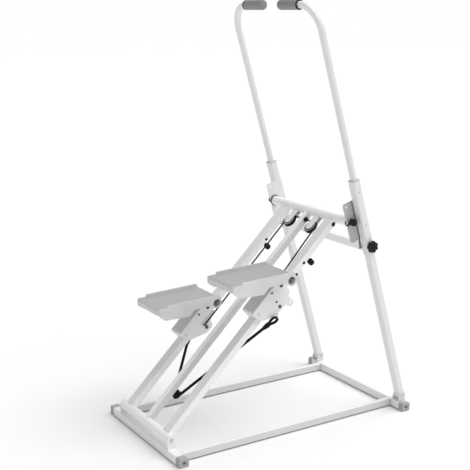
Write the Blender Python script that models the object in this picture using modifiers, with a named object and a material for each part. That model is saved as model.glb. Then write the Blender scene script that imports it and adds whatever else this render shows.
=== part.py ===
"""Vertical climber: a folding steel frame with two pedals that ride up and down inclined rails in turn.

Metres, +Z up, +X to the climber's right as seen from the front bar, +Y from the front bar to the rear one.
The origin is on the floor, in the middle of the footprint.
"""

from math import asin, atan2, ceil, cos, pi, radians, sin, tan

import bmesh
import bpy
from mathutils import Matrix, Vector

# Clearances and sheet
SEAT_GAP = 0.0003          # between pieces that seat on each other
RUN_GAP = 0.0005           # between pieces that slide or turn
TUBE_WALL = 0.0015
SHEET = 0.0025

# Base frame
BAR_SPACING = 0.903        # front bar's centre to rear bar's centre
BAR_DEPTH = 0.0344
BAR_TOP = 0.031            # height of the bars' top faces over the floor
BAR_LIFT = 0.001           # the caps hold the tubes this far off the floor
BAR_CORNER = 0.004
FRONT_BAR_LENGTH = 0.520
REAR_BAR_LENGTH = 0.579
FRONT_CAP_LENGTH = 0.028
REAR_CAP_LENGTH = 0.023
CAP_CORNER = 0.006
CAP_EDGE = 0.002
CAP_PLUG_LENGTH = 0.018
CAP_RECESS_RADIUS = 0.009
CAP_RECESS_DEPTH = 0.002
SIDE_BAR_OUTER_X = 0.2218
SIDE_BAR_WIDTH = 0.0185
SIDE_BAR_HEIGHT = 0.027
SIDE_BAR_CORNER = 0.003

# Front hinge, which the rails turn on
FRONT_PIVOT_HEIGHT = 0.0625
EAR_OUTER_X = 0.178
EAR_THICKNESS = 0.003
EAR_RADIUS = 0.017
PIVOT_ROD_RADIUS = 0.004
PIN_HEAD_RADIUS = 0.0065
PIN_HEAD_HEIGHT = 0.004
LOWER_TUBE_RADIUS = 0.01625
LOWER_TUBE_END = 0.003

# Posts
POST_PIVOT_HEIGHT = 0.0538
POST_PIVOT_SETBACK = 0.0024
POST_LEAN = radians(16.49)
POST_X = 0.2472
POST_WIDTH = 0.0286
POST_DEPTH = 0.0264
POST_CORNER = 0.004
POST_FOOT = 0.012          # tube below its pivot
POST_TOP = 0.845           # the post's and the sleeve's top, from the pivot
BRACKET_LENGTH = 0.032
BRACKET_TOP_RADIUS = 0.014

# Sleeves, locking plates and crossbar, along the post from its pivot
SLEEVE_BOTTOM = 0.570
SLEEVE_WALL = 0.0015
CROSSBAR_BOTTOM = 0.584
CROSSBAR_HEIGHT = 0.030
CROSSBAR_DEPTH = 0.020
CROSSBAR_FRONT = 0.012     # in front of the post's axis
LOCK_HEIGHT = 0.7056       # the upper tube's axis along the post
LOCK_OFFSET = 0.0372       # and in front of the post's axis
LOCK_PLATE_TOP = 0.070     # plate above the upper tube's axis
LOCK_PLATE_BOTTOM = 0.0756
LOCK_PLATE_FRONT = 0.0178
LOCK_PLATE_THICKNESS = 0.003
LOCK_PLATE_CORNER = 0.008
LOCK_PLATE_RISE = 0.012    # the plate's top edge rises towards the post
LOCK_SLOT_DIP = radians(32)
SPARE_HOLE_RADIUS = 0.0035
SPARE_HOLE_ABOVE = 0.055   # from the upper tube's axis
SPARE_HOLE_FORWARD = 0.004
STUD_RADIUS = 0.004

# Collars, handles and grips
COLLAR_HEIGHT = 0.003
COLLAR_SKIRT = 0.020
COLLAR_RIM = 0.0005
HANDLE_WIDTH = 0.0222
HANDLE_DEPTH = 0.0190
HANDLE_CORNER = 0.006
HANDLE_BOTTOM = 0.560
GRIP_HEIGHT = 1.4435       # the grips' axis along the post
HANDLE_BEND_RADIUS = 0.088
HANDLE_END_X = 0.055
GRIP_INNER_X = 0.050
GRIP_OUTER_X = 0.158
GRIP_RADIUS = 0.0172
GRIP_EDGE = 0.006

# Star knobs on the sleeves
STAR_KNOB_HEIGHT = 0.604
STAR_RADIUS = 0.0175
STAR_LOBE_RADIUS = 0.0056
STAR_LOBES = 7
STAR_THICKNESS = 0.012
STAR_HUB_RADIUS = 0.009
STAR_HUB_LENGTH = 0.006

# Lock knobs on the upper tube's ends
LOCK_KNOB_RADIUS = 0.012
LOCK_KNOB_LENGTH = 0.022
LOCK_KNOB_NECK = 0.008
LOCK_STUD_DEPTH = 0.012

# Rails
RAIL_X = 0.1354
RAIL_WIDTH = 0.0402
RAIL_DEPTH = 0.0241
MIDDLE_RAIL_WIDTH = 0.0232
RAIL_CORNER = 0.003
UPPER_TUBE_RADIUS = 0.017
UPPER_TUBE_WALL = 0.002
UPPER_TUBE_HALF = 0.2235
TUBE_CAP_THICKNESS = 0.002
TUBE_CAP_PLUG = 0.012

# Cable, pulleys and their plates, measured down from the upper tube's axis
CABLE_RADIUS = 0.0015
PULLEY_X = 0.064
PULLEY_DROP = 0.062
PULLEY_CABLE_RADIUS = 0.022
PULLEY_RIM = 0.0028
PULLEY_THICKNESS = 0.011
PULLEY_LIP = 0.0018
PULLEY_PIN_RADIUS = 0.004
PULLEY_PLATE_GAP = 0.013
PULLEY_PLATE_THICKNESS = 0.002
PULLEY_PLATE_WIDTH = 0.030
CABLE_HOLE_RADIUS = 0.0035

# Rubber stops under the rails
BUMPER_DROP = 0.171        # below the upper tube's axis, along the rail
BUMPER_RADIUS = 0.0105
BUMPER_NECK_RADIUS = 0.005
BUMPER_NECK = 0.019
BUMPER_LENGTH = 0.018

# Rope roller under the middle rail, along the rail from the front pivot
ROPE_RADIUS = 0.0038
ROPE_SINK = 0.003          # how deep the rope lies below the roller's rim
ROPE_SLACK = 0.0006        # from the rope to the groove's bottom
ROPE_ROLLER_ALONG = 0.134
ROPE_ROLLER_RADIUS = 0.0125
ROPE_ROLLER_THICKNESS = 0.013
ROPE_ROLLER_DROP = 0.029   # behind the rail's axis
ROPE_PIN_RADIUS = 0.004
ROPE_FOOT_RADIUS = 0.010
ROPE_FOOT_THICKNESS = 0.003

# Carriages: along the rail from the lower front axle, and out from the rail's axis
RIGHT_CARRIAGE_REST = 0.500
LEFT_CARRIAGE_REST = 0.319
CARRIAGE_INNER = 0.031     # rail's middle to a side plate's inner face
AXLE_RADIUS = 0.004
FRONT_ROLLER_RADIUS = 0.0106
UPPER_AXLE_ALONG = 0.1245
REAR_AXLE_ALONG = 0.070
REAR_AXLE_OUT = -0.026
ROLLER_WIDTH = 0.044
WEB_OUT = 0.0455           # the front web's outer face
WEB_TOP = 0.122
WEB_TURN = 0.011           # radius of the web's bend into the bracket's lower end
PLATE_FOOT = -0.0165       # the side plates' lower end
WEB_END_OUT = 0.0140       # the web's bent end stops here, clear of the rail's face
HINGE_ALONG = 0.1495
HINGE_OUT = 0.036
HINGE_EAR_RADIUS = 0.0185
PEDAL_TUBE_RADIUS = 0.0155
PEDAL_TUBE_WALL = 0.0015
TAB_HOLE = (0.1072, -0.0522)
TAB_RADIUS = 0.0115
TAB_HOLE_RADIUS = 0.0045
FIXING_HOLE_RADIUS = 0.0028
FIXING_HOLE_FRONT = (0.0825, 0.0334)
FIXING_HOLE_MIDDLE = (0.0709, -0.0030)
CABLE_STUD = (0.0700, -0.0085)
CABLE_STUD_LENGTH = 0.013
ROPE_STUD = (0.0460, -0.0325)
ROPE_STUD_LENGTH = 0.015
ROPE_END_OFF = 0.0085      # the rope's end from the outer plate's face
ROPE_END_DROP = 0.0035     # and below its stud
CARRIAGE_STUD_RADIUS = 0.003
CARRIAGE_STUD_HEAD = 0.0055

# Pedals: along the pedal from its hinge, and up from it
PEDAL_TILT = radians(2.5)
PEDAL_HALF_WIDTH = 0.083
PEDAL_SHEET = 0.002
PLATE_TOP = 0.021
PLATE_REAR = 0.0095
PLATE_FRONT = -0.232
PLATE_LIP = 0.021
PLATE_LIP_RADIUS = 0.009
PLATE_CORNER = 0.018
FLANGE_TOP = 0.030
FLANGE_FRONT = -0.2286
FLANGE_STEP = -0.194
STOP_BAR_RADIUS = 0.006
STOP_BAR_HALF = 0.022
STOP_BAR_ALONG = 0.113

# Finishes
WHITE_PAINT = ((0.90, 0.90, 0.91), 0.35, 0.0)
PEDAL_PAINT = ((0.45, 0.45, 0.46), 0.45, 0.0)
GREY_PLASTIC = ((0.50, 0.50, 0.52), 0.55, 0.0)
GREY_FOAM = ((0.34, 0.34, 0.36), 0.85, 0.0)
BLACK_PLASTIC = ((0.02, 0.02, 0.022), 0.45, 0.0)
BLACK_RUBBER = ((0.02, 0.02, 0.02), 0.8, 0.0)
PLATED_STEEL = ((0.62, 0.62, 0.63), 0.3, 1.0)

# Worked out from the sizes above
FRONT_PIVOT = Vector((0.0, -BAR_SPACING / 2, FRONT_PIVOT_HEIGHT))
POST_PIVOT = Vector((0.0, BAR_SPACING / 2 + POST_PIVOT_SETBACK, POST_PIVOT_HEIGHT))
POST_TURN = Matrix.Rotation(POST_LEAN, 4, "X")
UPPER_TUBE_AXIS = POST_PIVOT + POST_TURN @ Vector((0.0, -LOCK_OFFSET, LOCK_HEIGHT))
RAIL_REACH = (UPPER_TUBE_AXIS - FRONT_PIVOT).length
RAIL_INCLINE = atan2(UPPER_TUBE_AXIS.z - FRONT_PIVOT.z, UPPER_TUBE_AXIS.y - FRONT_PIVOT.y)
SLEEVE_HALF_WIDTH = POST_WIDTH / 2 + SEAT_GAP + SLEEVE_WALL
SLEEVE_INNER_X = POST_X - SLEEVE_HALF_WIDTH
LOWER_TUBE_HALF = EAR_OUTER_X - EAR_THICKNESS - RUN_GAP
PULLEY_ALONG = RAIL_REACH - PULLEY_DROP
FRONT_AXLE_OUT = RAIL_DEPTH / 2 + SEAT_GAP + FRONT_ROLLER_RADIUS
REAR_ROLLER_RADIUS = -REAR_AXLE_OUT - RAIL_DEPTH / 2 - SEAT_GAP
CARRIAGE_OUTER = CARRIAGE_INNER + SHEET

# Ways to lay a flat outline: x, y of the outline go to the axes named, and its thickness to the third
ACROSS_X = (pi / 2, 0.0, pi / 2)      # outline on Y and Z
ACROSS_Y = (pi / 2, 0.0, 0.0)         # outline on X and Z
ACROSS_Z = (0.0, 0.0, 0.0)            # outline on X and Y
ALONG_X = (0.0, pi / 2, 0.0)          # a turned piece's axis on X
ALONG_MINUS_X = (0.0, -pi / 2, 0.0)

SIDES = {"left": -1, "right": 1}
CIRCLE_STEPS = 14
PIN_STEPS = 8
TUBE_STEPS = 16


def clear_scene():
    for item in list(bpy.data.objects):
        bpy.data.objects.remove(item, do_unlink=True)


def new_collection(name):
    collection = bpy.data.collections.new(name)
    bpy.context.scene.collection.children.link(collection)
    return collection


def make_material(name, finish):
    colour, roughness, metallic = finish
    material = bpy.data.materials.new(name)
    material.use_nodes = True
    shader = material.node_tree.nodes["Principled BSDF"]
    shader.inputs["Base Color"].default_value = (*colour, 1.0)
    shader.inputs["Roughness"].default_value = roughness
    shader.inputs["Metallic"].default_value = metallic
    return material


def make_empty(name, location, rotation=(0.0, 0.0, 0.0), parent=None):
    empty = bpy.data.objects.new(name, None)
    empty.location = location
    empty.rotation_euler = rotation
    empty.parent = parent
    PARTS.objects.link(empty)
    return empty


def arc(centre, radius, start, end, steps):
    """Points on an arc, ends included; angles in radians."""
    turns = [start + (end - start) * i / steps for i in range(steps + 1)]
    return [(centre[0] + radius * cos(a), centre[1] + radius * sin(a)) for a in turns]


def circle(centre, radius, steps=CIRCLE_STEPS):
    return arc(centre, radius, 0.0, 2 * pi * (steps - 1) / steps, steps - 1)


def rounded(corners, step=radians(46)):
    """A closed outline with each corner (x, y, radius) rounded; radius 0 keeps it sharp."""
    outline = []
    for i, (x, y, radius) in enumerate(corners):
        here = Vector((x, y))
        before = Vector(corners[i - 1][:2]) - here
        after = Vector(corners[(i + 1) % len(corners)][:2]) - here
        if radius == 0.0:
            outline.append((x, y))
            continue
        half = before.angle(after) / 2
        reach = min(radius / tan(half), 0.49 * before.length, 0.49 * after.length)
        radius = reach * tan(half)
        centre = here + (before.normalized() + after.normalized()).normalized() * (radius / sin(half))
        first = here + before.normalized() * reach - centre
        last = here + after.normalized() * reach - centre
        turn = first.angle_signed(last)
        steps = max(1, ceil(abs(turn) / step))
        start = atan2(first.y, first.x)
        outline += arc(centre, radius, start, start - turn, steps)
    return outline


def rectangle(width, height, corner, centre=(0.0, 0.0)):
    x, y = width / 2, height / 2
    signs = ((-1, -1), (1, -1), (1, 1), (-1, 1))
    return rounded([(centre[0] + i * x, centre[1] + j * y, corner) for i, j in signs])


def tube_section(width, height, corner, wall=TUBE_WALL):
    """Outer and inner outlines of a rectangular tube."""
    return [rectangle(width, height, corner), rectangle(width - 2 * wall, height - 2 * wall, corner - wall)]


def add_object(name, mesh, material, location, rotation, parent):
    piece = bpy.data.objects.new(name, mesh)
    piece.location = location
    piece.rotation_euler = rotation
    piece.parent = parent
    PARTS.objects.link(piece)
    if material:
        mesh.materials.append(material)
    return piece


def mesh_of(source, name):
    """The source's evaluated shape as one welded mesh with its faces pointing out; the source goes."""
    bpy.context.view_layer.update()
    mesh = bpy.data.meshes.new_from_object(source.evaluated_get(bpy.context.evaluated_depsgraph_get()))
    mesh.name = name
    mesh.materials.clear()
    shape = bmesh.new()
    shape.from_mesh(mesh)
    bmesh.ops.remove_doubles(shape, verts=shape.verts, dist=1e-6)
    bmesh.ops.recalc_face_normals(shape, faces=shape.faces)
    shape.to_mesh(mesh)
    shape.free()
    bpy.data.objects.remove(source, do_unlink=True)
    return mesh


def shade(mesh, angle=radians(35)):
    mesh.shade_smooth()
    mesh.set_sharp_from_angle(angle=angle)


def flat_piece(name, outlines, thickness, material, location=(0, 0, 0), rotation=ACROSS_Z, parent=None):
    """A flat outline with its holes, thickened evenly to both sides of its plane."""
    curve = bpy.data.curves.new(name, "CURVE")
    curve.dimensions = "2D"
    curve.fill_mode = "BOTH"
    curve.extrude = thickness / 2
    for outline in outlines:
        spline = curve.splines.new("POLY")
        spline.points.add(len(outline) - 1)
        for point, (x, y) in zip(spline.points, outline):
            point.co = (x, y, 0.0, 1.0)
        spline.use_cyclic_u = True
    source = bpy.data.objects.new(name + "_outline", curve)
    PARTS.objects.link(source)
    mesh = mesh_of(source, name)
    shade(mesh)
    return add_object(name, mesh, material, location, rotation, parent)


def turned_piece(name, profile, material, location=(0, 0, 0), rotation=ACROSS_Z, parent=None,
                 steps=CIRCLE_STEPS, closed=False):
    """A profile of (radius, height) points, run top to bottom on its outer side, turned about Z."""
    mesh = bpy.data.meshes.new(name)
    last = len(profile) if closed else len(profile) - 1
    edges = [(i, (i + 1) % len(profile)) for i in range(last)]
    mesh.from_pydata([(radius, 0.0, height) for radius, height in profile], edges, [])
    source = bpy.data.objects.new(name + "_profile", mesh)
    PARTS.objects.link(source)
    screw = source.modifiers.new("Turn", "SCREW")
    screw.steps = steps
    screw.render_steps = steps
    screw.use_merge_vertices = True
    screw.merge_threshold = 1e-6
    mesh = mesh_of(source, name)
    shade(mesh)
    return add_object(name, mesh, material, location, rotation, parent)


def path_curve(name, points, depth=0.0, resolution=2, bevel=None):
    curve = bpy.data.curves.new(name, "CURVE")
    curve.dimensions = "3D"
    spline = curve.splines.new("POLY")
    spline.points.add(len(points) - 1)
    for point, place in zip(spline.points, points):
        point.co = (*place, 1.0)
    if bevel:
        curve.bevel_mode = "OBJECT"
        curve.bevel_object = bevel
    else:
        curve.bevel_depth = depth
        curve.bevel_resolution = resolution
        curve.use_fill_caps = True
    source = bpy.data.objects.new(name + "_path", curve)
    PARTS.objects.link(source)
    return source


def cord_piece(name, points, radius, material, parent):
    """A round cord along its points."""
    mesh = mesh_of(path_curve(name, points, depth=radius), name)
    shade(mesh, radians(60))
    return add_object(name, mesh, material, (0, 0, 0), (0, 0, 0), parent)


def guide(piece):
    """Keep a cutter or a joined shape out of the model."""
    PARTS.objects.unlink(piece)
    CUTTERS.objects.link(piece)
    piece.hide_render = True
    piece.display_type = "WIRE"


def combine(piece, other, operation):
    modifier = piece.modifiers.new(other.name, "BOOLEAN")
    modifier.operation = operation
    modifier.object = other
    guide(other)
    return piece


def cut(piece, cutter):
    return combine(piece, cutter, "DIFFERENCE")


def join(piece, other):
    return combine(piece, other, "UNION")


def keep_inside(piece, shape):
    return combine(piece, shape, "INTERSECT")


def round_cutter(name, radius, length, location, rotation=ALONG_X, parent=None, steps=CIRCLE_STEPS):
    half = length / 2
    profile = [(0.0, half), (radius, half), (radius, -half), (0.0, -half)]
    return turned_piece(name, profile, None, location, rotation, parent, steps)


def pin_profile(radius, half_length, head_radius, head_height, head_sink=0.0):
    """A pin with a head at each end; head_sink lets the heads bite into what they are joined to."""
    inner = half_length - head_sink
    outer = half_length + head_height
    top = [(0.0, outer), (head_radius, outer), (head_radius, inner), (radius, inner)]
    return top + [(r, -z) for r, z in reversed(top)]


def tube_piece(name, outer_radius, wall, half_length, material, location, parent, steps=TUBE_STEPS):
    """A plain round tube across X."""
    inner_radius = outer_radius - wall
    profile = [(outer_radius, half_length), (outer_radius, -half_length),
               (inner_radius, -half_length), (inner_radius, half_length)]
    return turned_piece(name, profile, material, location, ALONG_X, parent, steps, closed=True)


def bar_tube(name, length, y):
    """A base bar: a rectangular tube across X, held just off the floor."""
    height = BAR_TOP - BAR_LIFT
    section = tube_section(BAR_DEPTH, height, BAR_CORNER)
    return flat_piece(name, section, length, WHITE, (0.0, y, BAR_LIFT + height / 2), ACROSS_X)


def front_ear(side, y):
    """A round-topped plate for the front rod; its foot bites into the bar's top wall."""
    foot = BAR_TOP - TUBE_WALL / 3
    top = arc((0.0, FRONT_PIVOT_HEIGHT), EAR_RADIUS, 0.0, pi, 8)
    outline = [(-EAR_RADIUS, foot), (EAR_RADIUS, foot)] + top
    hole = circle((0.0, FRONT_PIVOT_HEIGHT), PIVOT_ROD_RADIUS + SEAT_GAP)
    x = side * (EAR_OUTER_X - EAR_THICKNESS / 2)
    return flat_piece("front_ear", [outline, hole], EAR_THICKNESS, None, (x, y, 0.0), ACROSS_X)


def foot_cap(name, side, y, bar_length, cap_length):
    """A plastic block as wide as the bar, with a plug in the bar's end and a round recess outside."""
    height = BAR_TOP - BAR_LIFT
    outer = side * bar_length / 2
    block_length = cap_length - SEAT_GAP
    x = outer - side * block_length / 2
    block = flat_piece(name, [rectangle(BAR_DEPTH, BAR_TOP, CAP_CORNER)], block_length, CAP_GREY,
                       (x, y, BAR_TOP / 2), ACROSS_X)
    bevel = block.modifiers.new("Edges", "BEVEL")
    bevel.width = CAP_EDGE
    bevel.segments = 1
    bevel.limit_method = "ANGLE"
    bevel.angle_limit = radians(60)
    inset = 2 * (TUBE_WALL + SEAT_GAP)
    plug = flat_piece(name + "_plug", [rectangle(BAR_DEPTH - inset, height - inset, BAR_CORNER - TUBE_WALL)],
                      CAP_PLUG_LENGTH + cap_length / 2, None,
                      (outer - side * (cap_length * 0.75 + CAP_PLUG_LENGTH / 2), y, BAR_LIFT + height / 2),
                      ACROSS_X)
    recess = round_cutter(name + "_recess", CAP_RECESS_RADIUS, 2 * CAP_RECESS_DEPTH, (outer, y, BAR_TOP / 2))
    return cut(join(block, plug), recess)


def make_base_bars():
    """The two bars, the ears welded on the front one, and the four caps they stand on."""
    bars = (("front", -BAR_SPACING / 2, FRONT_BAR_LENGTH, FRONT_CAP_LENGTH),
            ("rear", BAR_SPACING / 2, REAR_BAR_LENGTH, REAR_CAP_LENGTH))
    for place, y, length, cap_length in bars:
        bar = bar_tube(f"base_{place}_bar", length - 2 * cap_length, y)
        for hand, side in SIDES.items():
            foot_cap(f"foot_cap_{place}_{hand}", side, y, length, cap_length)
            if place == "front":
                join(bar, front_ear(side, y))


def make_side_bars():
    """The two smaller tubes between the bars."""
    length = BAR_SPACING - BAR_DEPTH - 2 * SEAT_GAP
    section = tube_section(SIDE_BAR_WIDTH, SIDE_BAR_HEIGHT, SIDE_BAR_CORNER)
    z = BAR_LIFT + (BAR_TOP - BAR_LIFT) / 2
    for hand, side in SIDES.items():
        x = side * (SIDE_BAR_OUTER_X - SIDE_BAR_WIDTH / 2)
        flat_piece(f"side_bar_{hand}", section, length, WHITE, (x, 0.0, z), ACROSS_Y)


def make_front_rod():
    """The rod that the lower cross tube turns on, through both ears."""
    profile = pin_profile(PIVOT_ROD_RADIUS, EAR_OUTER_X + SEAT_GAP, PIN_HEAD_RADIUS, PIN_HEAD_HEIGHT)
    turned_piece("front_pivot_rod", profile, STEEL, FRONT_PIVOT, ALONG_X, steps=PIN_STEPS)


def bracket_channel(inner, height):
    """A U section, open at the top, with its bends rounded."""
    outer = inner + SHEET
    bend = 2 * SHEET
    return rounded([(-outer, 0, bend), (outer, 0, bend), (outer, height, 0), (inner, height, 0),
                    (inner, SHEET, bend - SHEET), (-inner, SHEET, bend - SHEET), (-inner, height, 0),
                    (-outer, height, 0)])


def make_rear_bracket(hand, side):
    """A U bracket on the rear bar, its two cheeks round about the post's bolt."""
    base = BAR_TOP + SEAT_GAP
    inner = POST_WIDTH / 2 + RUN_GAP
    rise = POST_PIVOT_HEIGHT - base
    height = rise + BRACKET_TOP_RADIUS
    name = f"rear_bracket_{hand}"
    y = BAR_SPACING / 2
    bracket = flat_piece(name, [bracket_channel(inner, height)], BRACKET_LENGTH, WHITE,
                         (side * POST_X, y, base), ACROSS_Y)
    half = BRACKET_LENGTH / 2
    top = arc((POST_PIVOT_SETBACK, rise), BRACKET_TOP_RADIUS, 0.0, pi, 8)
    cheek = [(-half - SHEET, -SHEET), (half + SHEET, -SHEET), (half + SHEET, SHEET),
             (half - SHEET / 2, SHEET * 2)] + top + [(-half + SHEET / 2, SHEET * 2), (-half - SHEET, SHEET)]
    hole = circle((POST_PIVOT_SETBACK, rise), PIVOT_ROD_RADIUS + SEAT_GAP)
    shape = flat_piece(name + "_cheeks", [cheek, hole], 4 * POST_WIDTH, None, (side * POST_X, y, base),
                       ACROSS_X)
    keep_inside(bracket, shape)
    half_length = inner + SHEET + SEAT_GAP
    profile = pin_profile(PIVOT_ROD_RADIUS, half_length, PIN_HEAD_RADIUS, PIN_HEAD_HEIGHT)
    turned_piece(f"rear_pivot_bolt_{hand}", profile, STEEL, (side * POST_X, *POST_PIVOT.yz), ALONG_X,
                 steps=PIN_STEPS)


def make_lower_tube():
    """The round tube that the rails are welded to, closed at its ends but for the rod."""
    bore = PIVOT_ROD_RADIUS + SEAT_GAP
    inner = LOWER_TUBE_RADIUS - TUBE_WALL
    half = LOWER_TUBE_HALF
    hollow = half - LOWER_TUBE_END
    profile = [(bore, half), (LOWER_TUBE_RADIUS, half), (LOWER_TUBE_RADIUS, -half), (bore, -half),
               (bore, -hollow), (inner, -hollow), (inner, hollow), (bore, hollow)]
    turned_piece("lower_cross_tube", profile, WHITE, (0, 0, 0), ALONG_X, RAILS, steps=TUBE_STEPS, closed=True)


def make_rail(name, x, width):
    """A running rail, its ends coped to the two cross tubes."""
    overlap = LOWER_TUBE_RADIUS / 2
    length = RAIL_REACH - 2 * overlap
    rail = flat_piece(name, tube_section(width, RAIL_DEPTH, RAIL_CORNER), length, WHITE,
                      (x, overlap + length / 2, 0.0), ACROSS_Y, RAILS)
    for end, along, radius in (("foot", 0.0, LOWER_TUBE_RADIUS), ("head", RAIL_REACH, UPPER_TUBE_RADIUS)):
        cut(rail, round_cutter(f"{name}_{end}", radius + SEAT_GAP, 2 * width, (x, along, 0.0), parent=RAILS,
                               steps=TUBE_STEPS))
    return rail


def make_rails():
    for hand, side in SIDES.items():
        make_rail(f"rail_{hand}", side * RAIL_X, RAIL_WIDTH)
    middle = make_rail("rail_middle", 0.0, MIDDLE_RAIL_WIDTH)
    along = PULLEY_ALONG + PULLEY_CABLE_RADIUS
    cut(middle, round_cutter("cable_hole", CABLE_HOLE_RADIUS, 2 * MIDDLE_RAIL_WIDTH, (0.0, along, 0.0),
                             parent=RAILS, steps=12))


def make_upper_tube():
    """The tube between the posts' plates, with a plastic cap in each end that takes the lock stud."""
    tube_piece("upper_cross_tube", UPPER_TUBE_RADIUS, UPPER_TUBE_WALL, UPPER_TUBE_HALF, WHITE,
               (0.0, RAIL_REACH, 0.0), RAILS)
    bore = STUD_RADIUS + SEAT_GAP
    plug = UPPER_TUBE_RADIUS - UPPER_TUBE_WALL - SEAT_GAP
    seat = SEAT_GAP
    face = seat + TUBE_CAP_THICKNESS
    profile = [(bore, face), (UPPER_TUBE_RADIUS, face), (UPPER_TUBE_RADIUS, seat), (plug, seat),
               (plug, -TUBE_CAP_PLUG), (bore, -TUBE_CAP_PLUG)]
    for hand, side in SIDES.items():
        turned_piece(f"tube_cap_{hand}", profile, CAP_GREY, (side * UPPER_TUBE_HALF, RAIL_REACH, 0.0),
                     ALONG_X if side > 0 else ALONG_MINUS_X, RAILS, steps=TUBE_STEPS, closed=True)


def make_lock_knob(hand, side):
    """A black knob outside the post's plate, its stud in the upper tube's end."""
    plate_face = SLEEVE_INNER_X + SEAT_GAP
    length = LOCK_KNOB_LENGTH
    stud = plate_face + RUN_GAP - (UPPER_TUBE_HALF - LOCK_STUD_DEPTH)
    edge = LOCK_KNOB_RADIUS / 4
    profile = [(0.0, length), (LOCK_KNOB_RADIUS - edge, length), (LOCK_KNOB_RADIUS, length - edge),
               (LOCK_KNOB_RADIUS, 2 * edge), (LOCK_KNOB_NECK, edge), (LOCK_KNOB_NECK, 0.0),
               (STUD_RADIUS, 0.0), (STUD_RADIUS, -stud), (0.0, -stud)]
    turned_piece(f"lock_knob_{hand}", profile, BLACK, (side * (plate_face + RUN_GAP), RAIL_REACH, 0.0),
                 ALONG_X if side > 0 else ALONG_MINUS_X, RAILS, steps=TUBE_STEPS)


def pulley_tongue(name, side, out):
    """One tongue: a strip that hangs from the upper tube, round about the pulley's pin."""
    inner_face = abs(out) - PULLEY_PLATE_THICKNESS / 2
    seat = RAIL_REACH - (UPPER_TUBE_RADIUS ** 2 - inner_face ** 2) ** 0.5 - SEAT_GAP
    half = PULLEY_PLATE_WIDTH / 2
    outline = arc((0.0, 0.0), half, -pi, 0.0, 10)
    outline += [(half, seat - PULLEY_ALONG), (-half, seat - PULLEY_ALONG)]
    return flat_piece(name, [outline], PULLEY_PLATE_THICKNESS, WHITE,
                      (side * PULLEY_X, PULLEY_ALONG, out), ACROSS_Z, RAILS)


def make_pulley(hand, side):
    """A grooved pulley on its pin between two tongues."""
    out = PULLEY_PLATE_GAP / 2 + PULLEY_PLATE_THICKNESS / 2
    plate = pulley_tongue(f"pulley_plate_{hand}", side, out)
    join(plate, pulley_tongue(f"pulley_back_tongue_{hand}", side, -out))
    place = (side * PULLEY_X, PULLEY_ALONG, 0.0)
    profile = pin_profile(PULLEY_PIN_RADIUS, PULLEY_PLATE_GAP / 2 + PULLEY_PLATE_THICKNESS,
                          PULLEY_PIN_RADIUS * 1.4, 0.0012, head_sink=0.0003)
    pin = turned_piece(f"pulley_pin_{hand}", profile, None, place, ACROSS_Z, RAILS, steps=PIN_STEPS)
    join(plate, pin)
    bore = PULLEY_PIN_RADIUS + SEAT_GAP
    half = PULLEY_THICKNESS / 2
    rim = PULLEY_CABLE_RADIUS + PULLEY_RIM
    groove = PULLEY_CABLE_RADIUS - CABLE_RADIUS - SEAT_GAP
    lip = half - PULLEY_LIP
    profile = [(bore, half), (rim, half), (rim, lip), (groove, CABLE_RADIUS), (groove, -CABLE_RADIUS),
               (rim, -lip), (rim, -half), (bore, -half)]
    turned_piece(f"cable_pulley_{hand}", profile, BLACK, place, ACROSS_Z, RAILS, steps=20, closed=True)


def make_cable_top():
    """The cable over both pulleys and through the middle rail."""
    turn = PULLEY_CABLE_RADIUS
    left = arc((-PULLEY_X, PULLEY_ALONG), turn, pi, pi / 2, 6)
    right = arc((PULLEY_X, PULLEY_ALONG), turn, pi / 2, 0.0, 6)
    points = [(x, along, 0.0) for x, along in left + right]
    cord_piece("cable_top", points, CABLE_RADIUS, BLACK, RAILS)


def make_cable_run(hand, side, rest):
    """The cable from its pulley down to the stud on the carriage's inner plate."""
    inner_face = RAIL_X - CARRIAGE_OUTER
    x = inner_face - CABLE_STUD_LENGTH / 2
    along = rest + CABLE_STUD[0] + CARRIAGE_STUD_RADIUS + CABLE_RADIUS + SEAT_GAP
    top = Vector((side * (PULLEY_X + PULLEY_CABLE_RADIUS), PULLEY_ALONG - SEAT_GAP, 0.0))
    low = Vector((side * x, along, CABLE_STUD[1]))
    straight = top + Vector((0.0, -0.006, 0.0))
    points = [top, straight] + [straight.lerp(low, i / 4) for i in range(1, 5)]
    cord_piece(f"cable_run_{hand}", points, CABLE_RADIUS, BLACK, RAILS)


def make_rope_roller():
    """A roller on a pin under the middle rail, which the rope turns round."""
    rail_face = -RAIL_DEPTH / 2 - SEAT_GAP
    middle = -ROPE_ROLLER_DROP - rail_face
    half = ROPE_ROLLER_THICKNESS / 2
    head = middle - half - RUN_GAP
    foot = -ROPE_FOOT_THICKNESS
    rim = ROPE_FOOT_RADIUS * 0.7
    profile = [(0.0, 0.0), (ROPE_FOOT_RADIUS, 0.0), (ROPE_FOOT_RADIUS, foot), (ROPE_PIN_RADIUS, foot),
               (ROPE_PIN_RADIUS, head), (rim, head), (rim, head - 0.002), (0.0, head - 0.002)]
    turned_piece("rope_bracket", profile, BLACK, (0.0, ROPE_ROLLER_ALONG, rail_face), ACROSS_Z, RAILS,
                 steps=PIN_STEPS)
    bore = ROPE_PIN_RADIUS + SEAT_GAP
    groove = ROPE_ROLLER_RADIUS - ROPE_SINK - ROPE_SLACK
    profile = [(bore, half), (ROPE_ROLLER_RADIUS, half), (ROPE_ROLLER_RADIUS, half - 0.0012),
               (groove, half * 0.35), (groove, -half * 0.35), (ROPE_ROLLER_RADIUS, -half + 0.0012),
               (ROPE_ROLLER_RADIUS, -half), (bore, -half)]
    turned_piece("rope_roller", profile, BLACK, (0.0, ROPE_ROLLER_ALONG, -ROPE_ROLLER_DROP), ACROSS_Z, RAILS,
                 steps=TUBE_STEPS, closed=True)


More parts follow.
